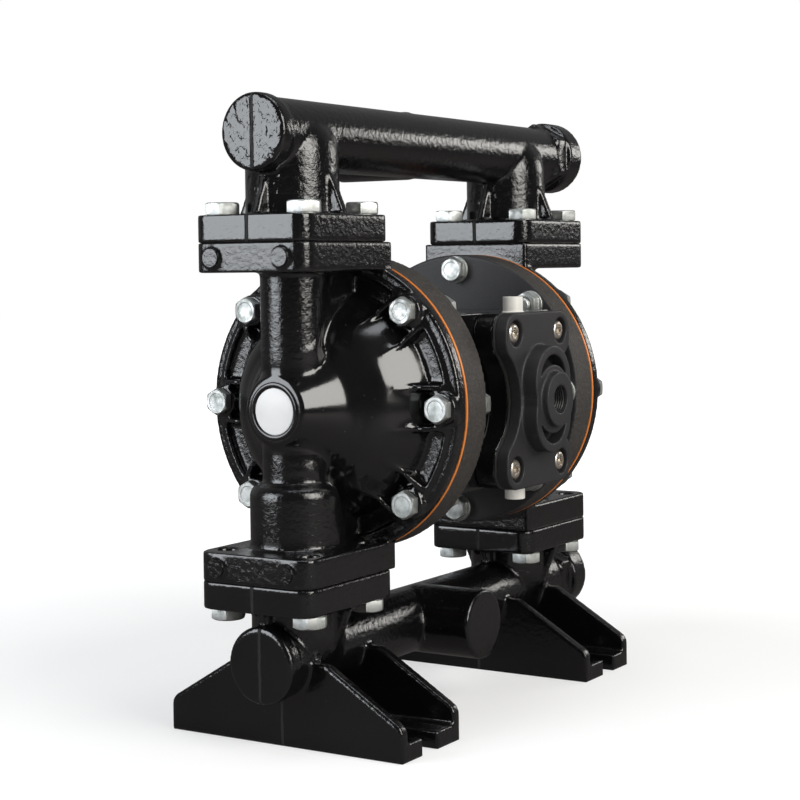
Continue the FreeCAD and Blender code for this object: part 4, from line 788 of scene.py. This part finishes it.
# Outlines of a nub and of the bead round a boss's face: radius and height in millimetres
NUB = ((5.1, 1.6), (5.1, 2.5), (4.75, 2.75), (4.75, 4.8), (4.5, 5.05))
BEAD = ((12.1, -0.6), (12.1, 0.25), (12.35, 0.55), (12.8, 0.7), (14.0, 0.7), (14.5, 0.55), (14.75, 0.25),
        (14.75, -0.6))
BOSS_RADIUS, DOME_EDGE = 17.5, 61.5  # where the dome starts and ends, in millimetres
BOSS_FILLET = 1.5  # width of the ring round the boss whose skin isn't evened out, in millimetres
SKIN_DEPTH = 0.8  # how near to the dome's surface a point counts as its skin, in millimetres
COLUMN_TOP, COLUMN_FADE = 20.0, 16.0  # nothing moves this far above the dome, and all of it this much lower
WALL_END, WALL_FADE = 3.5, 2.0  # nothing moves this far inside the wall, and all of it this much further out
# Radius and depth of the CAD dome behind the boss's face, in millimetres
CAD_DOME = ((BOSS_RADIUS, 0.0), (35.5, 28.4), (38.0, 31.6), (40.5, 33.9), (43.0, 35.7), (48.0, 38.3),
            (53.0, 41.3), (55.5, 43.5), (58.0, 46.8), (60.5, 52.8))
# How much deeper the real dome's surface lies there: it is fuller than the CAD dome
FULLNESS = ((29.0, 0.0), (32.0, -1.2), (36.0, -5.0), (41.0, -7.6), (46.0, -6.9), (50.0, -4.2), (54.0, -0.9),
            (58.0, 1.2), (DOME_EDGE, 0.0))


def straight_between(table, place):
    """Reads a table of (place, value) pairs in straight steps."""
    for (start, low), (end, high) in zip(table, table[1:]):
        if place <= end:
            return low + (high - low) * (place - start) / (end - start)
    return table[-1][1]


def smooth_between(table, place):
    """Reads a table of (place, value) pairs along a curve without corners, flat at both ends."""
    slopes = [0.0] + [(c[1] - a[1]) / (c[0] - a[0]) for a, c in zip(table, table[2:])] + [0.0]
    for k, ((start, low), (end, high)) in enumerate(zip(table, table[1:])):
        if start <= place <= end:
            wide = end - start
            t = (place - start) / wide
            rise = (2 * t ** 3 - 3 * t ** 2 + 1) * low + (3 * t ** 2 - 2 * t ** 3) * high
            return rise + wide * ((t ** 3 - 2 * t ** 2 + t) * slopes[k] + (t ** 3 - t ** 2) * slopes[k + 1])
    return 0.0


def boss_face(side):
    """Where the flat face of a cap's boss lies on X, and which way is inwards."""
    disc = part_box("label_disc")[0].x
    return (disc, 1.0) if side == "left" else (2 * MIDDLE.x - disc, -1.0)


def fill_out_dome(cap, side):
    """Moves the outer skin of a cap's dome, with its ribs, out to the fuller shape and evens out the skin."""
    face, inwards = boss_face(side)
    skin = cap.vertex_groups.new(name="Dome")
    for vert in cap.data.vertices:
        radius = math.hypot(vert.co.y - MIDDLE.y, vert.co.z - MIDDLE.z) / MM
        if not BOSS_RADIUS < radius < DOME_EDGE:
            continue
        below = (vert.co.x - face) * inwards / MM - straight_between(CAD_DOME, radius)
        # All of the skin moves, less and less up the columns and none of the chamber's inside
        share = min(1.0, (below + COLUMN_TOP) / COLUMN_FADE, (WALL_END - below) / WALL_FADE)
        vert.co.x += smooth_between(FULLNESS, radius) * max(0.0, share) * inwards * MM
        if radius > BOSS_RADIUS + BOSS_FILLET and abs(below) < SKIN_DEPTH:
            skin.add([vert.index], 1.0, "REPLACE")
    smoothed(cap, skin, DOME_PASSES)


def turned(name, profile, place, count, sharp, joined=False):
    """A painted turned piece from (radius, height) pairs in millimetres, on its own Z axis."""
    bm = bmesh.new()
    add_skin(bm, [round_ring(radius * MM, height * MM, count) for radius, height in profile], place, joined)
    add_piece(name, finished_mesh(bm, name, sharp=sharp), "cap paint", "pump", [])


def cap_details(side):
    """The nubs on a cap's square flanges and the bead round its boss's face."""
    low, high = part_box(f"fluid_cap_{side}")
    face, inwards = boss_face(side)
    outer = low.x if side == "left" else high.x
    spots = [(MIDDLE.y + dy * NUB_REACH, MIDDLE.z + dz * NUB_RISE) for dy in (-1, 1) for dz in (-1, 1)]
    for count, (y, z) in enumerate(spots, 1):
        foot = along("X", -inwards, Vector((outer + inwards * NUB_BACK, y, z)))
        turned(f"nub_{side}_{count}", NUB, foot, NUB_POINTS, 22)
    ring = along("X", -inwards, Vector((face, MIDDLE.y, MIDDLE.z)))
    turned(f"boss_bead_{side}", BEAD, ring, FINE_POINTS, 35, joined=True)


def fluid_cap_planes(side):
    """The machined faces of a cap: both square flanges, the clamping face and the flanges' outer faces."""
    node = f"fluid_cap_{side}"
    low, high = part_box(node)
    clamp, outer, inwards = ("x+", low.x, 1) if side == "left" else ("x-", high.x, -1)
    return ends_of(node, "z-", "z+", clamp) + [(0, outer + inwards * NUB_HEIGHT)]


class PUMP_OT_castings(bpy.types.Operator):
    """Rebuild the fluid caps and manifolds with rounded cast edges"""

    bl_idname = "pump.castings"
    bl_label = "Fluid caps and manifolds"

    def execute(self, context):
        for side in SIDES:
            cap = cast_copy(f"fluid_cap_{side}", f"cast_cap_{side}", "cap paint", fluid_cap_planes(side))
            fill_out_dome(cap, side)
            cap_details(side)
        cast_copy("outlet_manifold", "cast_outlet_manifold", "manifold paint",
                  ends_of("outlet_manifold", "z-", "x+"))
        cast_copy("inlet_manifold", "cast_inlet_manifold", "manifold paint",
                  ends_of("inlet_manifold", "z-", "z+", "x+"))
        return {"FINISHED"}


class PUMP_OT_air_section(bpy.types.Operator):
    """Rebuild the air caps, centre body, valve block and valve cover"""

    bl_idname = "pump.air_section"
    bl_label = "Air section"

    def execute(self, context):
        fine = context.scene.pump_casting.fine_grain
        for side in SIDES:
            node = f"air_cap_{side}"
            low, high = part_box(node)
            cap = cast_copy(node, f"cast_{node}", "satin", ends_of(node, "x-", "x+"), passes=5)
            paint_rim(cap, (high.y - low.y) / 2)
        cast_copy("center_body", "cast_centre_body", "body paint",
                  ends_of("center_body", "x-", "x+", "y-", "y+"), passes=5)
        cast_copy("valve_block", "cast_valve_block", "body paint",
                  ends_of("valve_block", "y-", "y+"), cell=fine * BLOCK_CELLS, passes=5)
        cast_copy("valve_cover", "cast_valve_cover", "cover satin",
                  ends_of("valve_cover", "y-", "y+"), cell=fine, passes=7)
        return {"FINISHED"}


RIM_DEPTH, RIM_SLOPE = 1.2 * MM, 0.75  # how deep the rim's band reaches, and how far it may face along X


def paint_rim(cap, radius):
    """Gives the band round an air cap its grainy finish."""
    cap.data.materials.append(material("rim"))
    for face in cap.data.polygons:
        out = Vector((0, face.center.y - MIDDLE.y, face.center.z - MIDDLE.z))
        if out.length > radius - RIM_DEPTH and abs(face.normal.x) < RIM_SLOPE:
            face.material_index = 1


def fastener_piece(node, name, finish, slot, shape, *sizes, sharp=35, bevel=0.0):
    """One piece with a fastener at each place of a CAD node. Shape adds one to a mesh, given its box."""
    bm = bmesh.new()
    for low, high in loose_parts(node):
        shape(bm, low, high, *sizes)
    add_piece(name, finished_mesh(bm, name, sharp=sharp, bevel=bevel), finish, "pump", [node])


# Details of a hexagon bolt: the dimple in its top, the collar under its head, and its thread
DIMPLE_FLOOR, DIMPLE_RIM, DIMPLE_DEPTH = 0.70, 0.76, 0.16 * MM  # radii as shares of the flat top's radius
COLLAR_SHARE, COLLAR_HEIGHT = 0.48, 0.40 * MM  # radius as a share of the width across flats
EDGE_STEP = 0.05 * MM  # between a head's top or collar and its flats
THREAD_LENGTH, THREAD_DEPTH, TIP_CHAMFER = 12 * MM, 0.35 * MM, 0.6 * MM


def hexagon_bolt(bm, low, high, axis, sign, head, shank):
    """One hexagon bolt: crowned head, washer face and threaded shank.

    Sign points from the shank to the head. Along X it holds for the left side, and the right is its mirror.
    """
    settings = bpy.context.scene.pump_fasteners
    if axis == 0 and high.x >= MIDDLE.x:
        sign = -sign
    across = min(high[k] - low[k] for k in range(3) if k != axis)
    origin = (low + high) / 2
    origin[axis] = (high if sign > 0 else low)[axis] - sign * head
    place = along("XYZ"[axis], sign, origin)
    place = place @ Matrix.Rotation(hexagon_turn(place, low, high, axis), 4, "Z")
    length = high[axis] - low[axis] - head
    flat, collar = across * CHAMFER_START, across * COLLAR_SHARE
    rings = [
        round_ring(flat * DIMPLE_FLOOR, head - DIMPLE_DEPTH),
        round_ring(flat * DIMPLE_RIM, head),
        round_ring(flat, head),
        hexagon_ring(across, head - EDGE_STEP, (flat, math.tan(settings.crown_angle))),
        hexagon_ring(across, COLLAR_HEIGHT + EDGE_STEP),
        round_ring(collar, COLLAR_HEIGHT),
        round_ring(collar, 0.0),
        round_ring(shank, 0.0),
    ]
    start, end = -length + TIP_CHAMFER, -length + THREAD_LENGTH
    rings += reversed(thread_rings(shank, THREAD_DEPTH, settings.thread_pitch, start, end))
    rings.append(round_ring(shank - TIP_CHAMFER, -length))
    add_skin(bm, rings, place)


def hexagon_turn(place, low, high, axis):
    """Turn about the local Z that lines the hexagon's corners up with the CAD box's wide direction."""
    others = [k for k in range(3) if k != axis]
    wide = max(others, key=lambda k: high[k] - low[k])
    local = place.to_3x3().inverted() @ Vector([1.0 if k == wide else 0.0 for k in range(3)])
    return math.atan2(local.y, local.x) + math.pi / 6


class PUMP_OT_bolts(bpy.types.Operator):
    """Make the hexagon bolts of the caps and manifolds"""

    bl_idname = "pump.bolts"
    bl_label = "Hexagon bolts"

    BOLTS = {
        "cap_bolts": (0, -1.0, *CAP_BOLT),
        "rim_screws": (0, 1.0, *CAP_BOLT),
        "outlet_manifold_bolts": (2, 1.0, *FLANGE_BOLT),
        "inlet_manifold_bolts": (2, -1.0, *FLANGE_BOLT),
    }

    def execute(self, context):
        for node, sizes in self.BOLTS.items():
            fastener_piece(
                node, f"zinc_{node}", "zinc", "zinc", hexagon_bolt, *sizes, sharp=20, bevel=0.12 * MM)
        return {"FINISHED"}


def on_x(low, high):
    """A placement whose Z runs along X from the low end of a box, through its middle."""
    return along("X", 1.0, Vector((low.x, (low.y + high.y) / 2, (low.z + high.z) / 2)))


def hexagon_nut(bm, low, high, bore):
    """One hexagon nut on the X axis, crowned on both faces, with a countersunk threaded hole."""
    across = min(high.y - low.y, high.z - low.z)
    thick = high.x - low.x
    place = on_x(low, high)
    place = place @ Matrix.Rotation(hexagon_turn(place, low, high, 0), 4, "Z")
    flat, mouth, sink = across * CHAMFER_START, bore + 0.7 * MM, 1.0 * MM
    crown = (flat, math.tan(bpy.context.scene.pump_fasteners.crown_angle))
    upper = hexagon_ring(across, thick, crown)
    rings = [
        round_ring(bore, sink),
        round_ring(mouth, 0.0),
        round_ring(flat, 0.0),
        [Vector((point.x, point.y, thick - point.z)) for point in upper],
        upper,
        round_ring(flat, thick),
        round_ring(mouth, thick),
        round_ring(bore, thick - sink),
    ]
    add_skin(bm, rings, place, joined=True)


def washer(bm, low, high, bore):
    """One flat washer on the X axis with a pressed edge."""
    radius, thick = (high.y - low.y) / 2, high.x - low.x
    edge = 0.25 * MM
    outline = ((bore, 0.0), (radius - edge, 0.0), (radius, edge), (radius, thick - edge),
               (radius - edge, thick), (bore, thick))
    add_skin(bm, [round_ring(*corner, WASHER_POINTS) for corner in outline], on_x(low, high), joined=True)


class PUMP_OT_nuts(bpy.types.Operator):
    """Make the nuts and washers behind the air caps"""

    bl_idname = "pump.nuts"
    bl_label = "Nuts and washers"

    def execute(self, context):
        fastener_piece("cap_nuts", "zinc_cap_nuts", "zinc", "zinc", hexagon_nut, NUT_BORE, bevel=0.1 * MM)
        fastener_piece("cap_washers", "zinc_cap_washers", "zinc", "zinc", washer, WASHER_BORE, sharp=50)
        return {"FINISHED"}


def lobe_screw(bm, low, high):
    """One round-headed screw on the Y axis with a six-lobe recess, its head towards -Y."""
    radius = (high.x - low.x) / 2
    length = high.y - low.y
    place = along("Y", -1.0, Vector(((low.x + high.x) / 2, high.y, (low.z + high.z) / 2)))
    shank, tip = 3.0 * MM, 2.4 * MM
    # Shares of the head's radius, and at last the depth under its top in millimetres
    recess = ((0.30, 0.06, 2.2), (0.42, 0.075, 1.9), (0.44, 0.08, 0.15), (0.50, 0.06, 0.0))
    crown = ((0.72, 0.10), (0.88, 0.55), (0.97, 1.4), (1.0, 3.6), (0.96, 4.0))
    rings = [lobed_ring(radius * reach, radius * lobe, length - deep * MM) for reach, lobe, deep in recess]
    rings += [round_ring(radius * reach, length - deep * MM) for reach, deep in crown]
    rings.append(round_ring(shank, length - 4.0 * MM))
    rings += reversed(
        thread_rings(shank, depth=0.3 * MM, pitch=1.0 * MM, start=0.4 * MM, end=length - 10.0 * MM))
    rings.append(round_ring(tip, 0.0))
    add_skin(bm, rings, place)


class PUMP_OT_cover_screws(bpy.types.Operator):
    """Make the six-lobe screws of the valve cover"""

    bl_idname = "pump.cover_screws"
    bl_label = "Valve cover screws"

    def execute(self, context):
        fastener_piece("valve_cover_screws", "lobe_screws", "screw", "screw_metal", lobe_screw, sharp=40)
        return {"FINISHED"}


PORT_THREAD_DEPTH = 0.55  # over the pitch


def thread_sleeve(name, place, bore, length, pitch, finish):
    """A threaded port wall: crests reach into the bore and its back is sunk in the casting."""
    mouth, back = 0.8 * MM, bore + 0.8 * MM
    rings = thread_rings(bore + 0.15 * MM, pitch * PORT_THREAD_DEPTH, pitch, mouth, length, FINE_POINTS)
    rings += [round_ring(back, length, FINE_POINTS), round_ring(back, mouth, FINE_POINTS)]
    bm = bmesh.new()
    add_skin(bm, rings, place, joined=True)
    add_piece(name, finished_mesh(bm, name, sharp=60), finish, "pump", [])


class PUMP_OT_threads(bpy.types.Operator):
    """Cut helical threads into the ports"""

    bl_idname = "pump.threads"
    bl_label = "Port threads"

    # Finish, slot and pitch in millimetres of each port's thread
    PORTS = {
        "outlet_port": ("manifold paint", "cap_paint", 2.31),
        "inlet_port": ("manifold paint", "cap_paint", 2.31),
        "air_inlet": ("cover satin", "cover_paint", 1.34),
        "exhaust_port": ("body paint", "body_paint", 1.81),
    }

    def execute(self, context):
        for mount in frame["record"]["mounts"]:
            if mount["kind"] != "threaded_hole":
                continue
            finish, slot, pitch = self.PORTS[mount["name"]]
            bore, length = mount["dims"]["r_mm"] * MM, mount["dims"]["length_mm"] * MM
            axis = Vector(mount["axis"])
            mouth = Vector(mount["pos_m"]) + axis * length / 2
            place = Matrix.Translation(mouth) @ (-axis).to_track_quat("Z", "Y").to_matrix().to_4x4()
            name = f"thread_{mount['name']}"
            thread_sleeve(name, place, bore, length - 1 * MM, pitch * MM, finish)
        return {"FINISHED"}


def diaphragm_sector(node, middle):
    """One sector of a diaphragm, cut out of the CAD mesh, closed and divided finely enough to bend."""
    bm = bmesh.new()
    bm.from_mesh(NODES[node].data)
    bmesh.ops.remove_doubles(bm, verts=bm.verts, dist=SAME_POINT)
    for sign in (-1, 1):
        turn = middle + sign * math.pi / SECTORS
        across = Vector((0, -math.sin(turn), math.cos(turn))) * sign
        everything = list(bm.verts) + list(bm.edges) + list(bm.faces)
        bmesh.ops.bisect_plane(bm, geom=everything, plane_co=MIDDLE, plane_no=across, clear_outer=True)
    bmesh.ops.holes_fill(bm, edges=[edge for edge in bm.edges if edge.is_boundary], sides=0)
    for _ in range(5):
        bmesh.ops.triangulate(bm, faces=bm.faces)
        coarse = [edge for edge in bm.edges if edge.calc_length() > LONGEST_EDGE]
        bmesh.ops.subdivide_edges(bm, edges=coarse, cuts=1)
    bmesh.ops.triangulate(bm, faces=bm.faces)
    return bm


def flexing_diaphragm(side):
    """A diaphragm cut into sectors, each a piece of its own."""
    node = f"diaphragm_{side}"
    for sector in range(SECTORS):
        name = f"{node}_{sector + 1}"
        middle = math.tau * sector / SECTORS
        mesh = finished_mesh(diaphragm_sector(node, middle), name, sharp=30)
        mesh.materials.append(material("diaphragm"))
        piece = new_object(name, mesh)
        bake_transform(piece)
        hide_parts(node)


class PUMP_OT_inner_parts(bpy.types.Operator):
    """Give the diaphragms, check valves, rod, spool and seals their materials"""

    bl_idname = "pump.inner_parts"
    bl_label = "Diaphragms and inner parts"

    FINISHES = {
        "diaphragm": "diaphragm", "seal": "seal", "gasket": "gasket", "ball": "ball", "seat": "seat",
        "plate_metal": "aluminium", "rod_steel": "steel", "bronze": "bronze", "spool_metal": "aluminium",
        "zinc": "zinc", "screw_metal": "screw", "white": "plug",
    }

    ROUNDED = {"spool_plug_top": 1.0, "spool_plug_bottom": 1.0, "label_disc": 0.25}

    def execute(self, context):
        for node, edge in self.ROUNDED.items():
            rounded_copy(node, f"round_{node}", "disc" if node == "label_disc" else "plug", edge * MM)
        for side in SIDES:
            flexing_diaphragm(side)
        for node, shape in NODES.items():
            if not shape.hide_render:
                dress_node(node, self.FINISHES[slot_of(node)])
        return {"FINISHED"}


def softbox(name, direction, distance, size, radiance, colour):
    """A soft area lamp that looks at the pump. Direction is degrees from +X towards +Y and degrees up."""
    lamp = bpy.data.lights.new(name, "AREA")
    lamp.shape = "RECTANGLE"
    lamp.size, lamp.size_y = size
    lamp.energy = radiance * math.pi * size[0] * size[1]
    lamp.color = colour
    stand = new_object(name, lamp)
    turn, rise = (math.radians(angle) for angle in direction)
    way = Vector((math.cos(turn) * math.cos(rise), math.sin(turn) * math.cos(rise), math.sin(rise)))
    stand.location = MIDDLE + way * distance
    stand.rotation_euler = way.to_track_quat("Z", "Y").to_euler()


class PUMP_OT_stage(bpy.types.Operator):
    """Set up the camera, lamps, world and floor"""

    bl_idname = "pump.stage"
    bl_label = "Stage"

    COOL, WARM = (0.92, 0.96, 1.0), (1.0, 0.98, 0.93)
    # Direction, distance, width and height, and colour
    SOFTBOXES = {
        "left": ((149, 15.5), 1.6, (0.92, 1.0), COOL),
        "right": ((256.5, 25), 1.6, (0.86, 1.16), WARM),
        "far": ((335, 15), 1.6, (0.44, 0.36), WARM),
        "top": ((220, 82), 1.5, (0.9, 0.6), COOL),
    }
    FLOOR_HALF, FLOOR_DROP = 6.0, 0.05 * MM
    PAINTED_LIGHT_POOL = (-0.15, -0.65, 0)  # painted pool of light: the spot round which the floor glows for gloss rays only

    def execute(self, context):
        stage = context.scene.pump_stage
        self.add_camera(context, stage)
        for name, (direction, distance, size, colour) in self.SOFTBOXES.items():
            softbox(f"{name}_softbox", direction, distance, size, getattr(stage, f"{name}_light"), colour)
        self.add_floor()
        self.light_world(context, stage)
        context.scene.view_settings.view_transform = "Standard"
        return {"FINISHED"}

    def add_camera(self, context, stage):
        data = bpy.data.cameras.new("camera")
        data.lens = stage.lens
        data.sensor_width = 36.0
        data.shift_x, data.shift_y = stage.shift
        data.clip_start, data.clip_end = 0.01, 100
        camera = new_object("camera", data)
        camera.location = stage.eye
        level = math.cos(stage.pitch)
        way = Vector((math.cos(stage.yaw) * level, math.sin(stage.yaw) * level, math.sin(stage.pitch)))
        upright = way.to_track_quat("-Z", "Y").to_matrix().to_4x4()
        camera.rotation_euler = (upright @ Matrix.Rotation(stage.roll, 4, "Z")).to_euler()
        context.scene.camera = camera

    def add_floor(self):
        bm = bmesh.new()
        corners = ((-1, -1), (1, -1), (1, 1), (-1, 1))
        half = self.FLOOR_HALF
        bm.faces.new([bm.verts.new((x * half, y * half, -self.FLOOR_DROP)) for x, y in corners])
        mesh = bpy.data.meshes.new("floor")
        bm.to_mesh(mesh)
        bm.free()
        floor = new_object("floor", mesh)
        mesh.materials.append(self.floor_material())

    def floor_material(self):
        """Pale paper that fades to the white of the backdrop away from the pump; gloss rays see painted
        shade, a darker paper, and a painted pool of light near the pump.
        """
        made = bpy.data.materials.new("PaleFloor")
        made.use_nodes = True
        tree = made.node_tree
        tree.nodes.clear()
        direct, gloss = ray_kinds(tree)
        paper = tree.nodes.new("ShaderNodeBsdfDiffuse")
        # Painted shade: the paper turns dark for gloss rays, so reflections of the floor in the castings come
        # out dark
        tone = mix_colour(tree, gloss, (0.58, 0.58, 0.58), (0.10, 0.09, 0.085))
        tree.links.new(tone, paper.inputs["Color"])
        white = remap(tree, vector_node(tree, "LENGTH", object_place(tree)), 0.25, 0.95, 0.45, 1.0)
        # Painted pool of light: round this spot the floor glows for gloss rays only, a painted reflection in
        # the castings
        pool = vector_node(tree, "DISTANCE", object_place(tree), self.PAINTED_LIGHT_POOL)
        painted_pool_glow = remap(tree, pool, 0.15, 0.85, 0.30, 0.03)
        seen = math_node(tree, "MAXIMUM", direct, times(tree, gloss, painted_pool_glow))
        glow = tree.nodes.new("ShaderNodeEmission")
        tree.links.new(times(tree, seen, white), glow.inputs["Strength"])
        both = tree.nodes.new("ShaderNodeAddShader")
        tree.links.new(paper.outputs[0], both.inputs[0])
        tree.links.new(glow.outputs[0], both.inputs[1])
        tree.links.new(both.outputs[0], tree.nodes.new("ShaderNodeOutputMaterial").inputs["Surface"])
        return made

    def light_world(self, context, stage):
        """White to the camera; in gloss, a white backdrop behind the pump and a dim studio in front."""
        world = bpy.data.worlds.new("studio")
        context.scene.world = world
        world.use_nodes = True
        tree = world.node_tree
        tree.nodes.clear()
        way = tree.nodes.new("ShaderNodeTexCoord").outputs["Generated"]
        ahead = vector_node(tree, "DOT_PRODUCT", way, (math.cos(stage.yaw), math.sin(stage.yaw), 0))
        mirrored = remap(tree, ahead, -0.1, 0.55, stage.room_gloss, stage.backdrop_gloss)
        direct, gloss = ray_kinds(tree)
        room = times(tree, math_node(tree, "SUBTRACT", 1.0, gloss), stage.room_light)
        lit = math_node(tree, "ADD", room, times(tree, gloss, mirrored))
        sky = tree.nodes.new("ShaderNodeBackground")
        sky.inputs["Color"].default_value = (1, 1, 1, 1)
        tree.links.new(math_node(tree, "MAXIMUM", direct, lit), sky.inputs["Strength"])
        tree.links.new(sky.outputs[0], tree.nodes.new("ShaderNodeOutputWorld").inputs["Surface"])


def ray_kinds(tree):
    """1 for rays from the camera or through glass, and 1 for rays from a shiny surface."""
    path = tree.nodes.new("ShaderNodeLightPath")
    direct = math_node(tree, "MAXIMUM", path.outputs["Is Camera Ray"], path.outputs["Is Transmission Ray"])
    return direct, path.outputs["Is Glossy Ray"]


class PUMP_PT_looks(bpy.types.Panel):
    """Lists what can be made"""

    bl_idname = "PUMP_PT_looks"
    bl_label = "Diaphragm Pump"
    bl_space_type = "VIEW_3D"
    bl_region_type = "UI"
    bl_category = "Pump"

    def draw(self, context):
        for operator in OPERATORS:
            self.layout.operator(operator.bl_idname)
        for group in SETTINGS:
            box = self.layout.box()
            box.label(text=group.__doc__)
            for label in group.__annotations__:
                box.prop(getattr(context.scene, SETTINGS[group]), label)


SETTINGS = {
    PaintSettings: "pump_paint",
    CastingSettings: "pump_casting",
    FastenerSettings: "pump_fasteners",
    SoftSettings: "pump_soft",
    StageSettings: "pump_stage",
}
OPERATORS = (
    PUMP_OT_stage,
    PUMP_OT_castings,
    PUMP_OT_air_section,
    PUMP_OT_bolts,
    PUMP_OT_nuts,
    PUMP_OT_cover_screws,
    PUMP_OT_threads,
    PUMP_OT_inner_parts,
)


def register():
    for group, label in SETTINGS.items():
        bpy.utils.register_class(group)
        setattr(bpy.types.Scene, label, PointerProperty(type=group))
    for operator in OPERATORS:
        bpy.utils.register_class(operator)
    bpy.utils.register_class(PUMP_PT_looks)


def unregister():
    bpy.utils.unregister_class(PUMP_PT_looks)
    for operator in reversed(OPERATORS):
        bpy.utils.unregister_class(operator)
    for group, label in SETTINGS.items():
        delattr(bpy.types.Scene, label)
        bpy.utils.unregister_class(group)


def main():
    register()
    for operator in OPERATORS:
        getattr(bpy.ops.pump, operator.bl_idname.removeprefix("pump."))()


if __name__ == "__main__":
    main()
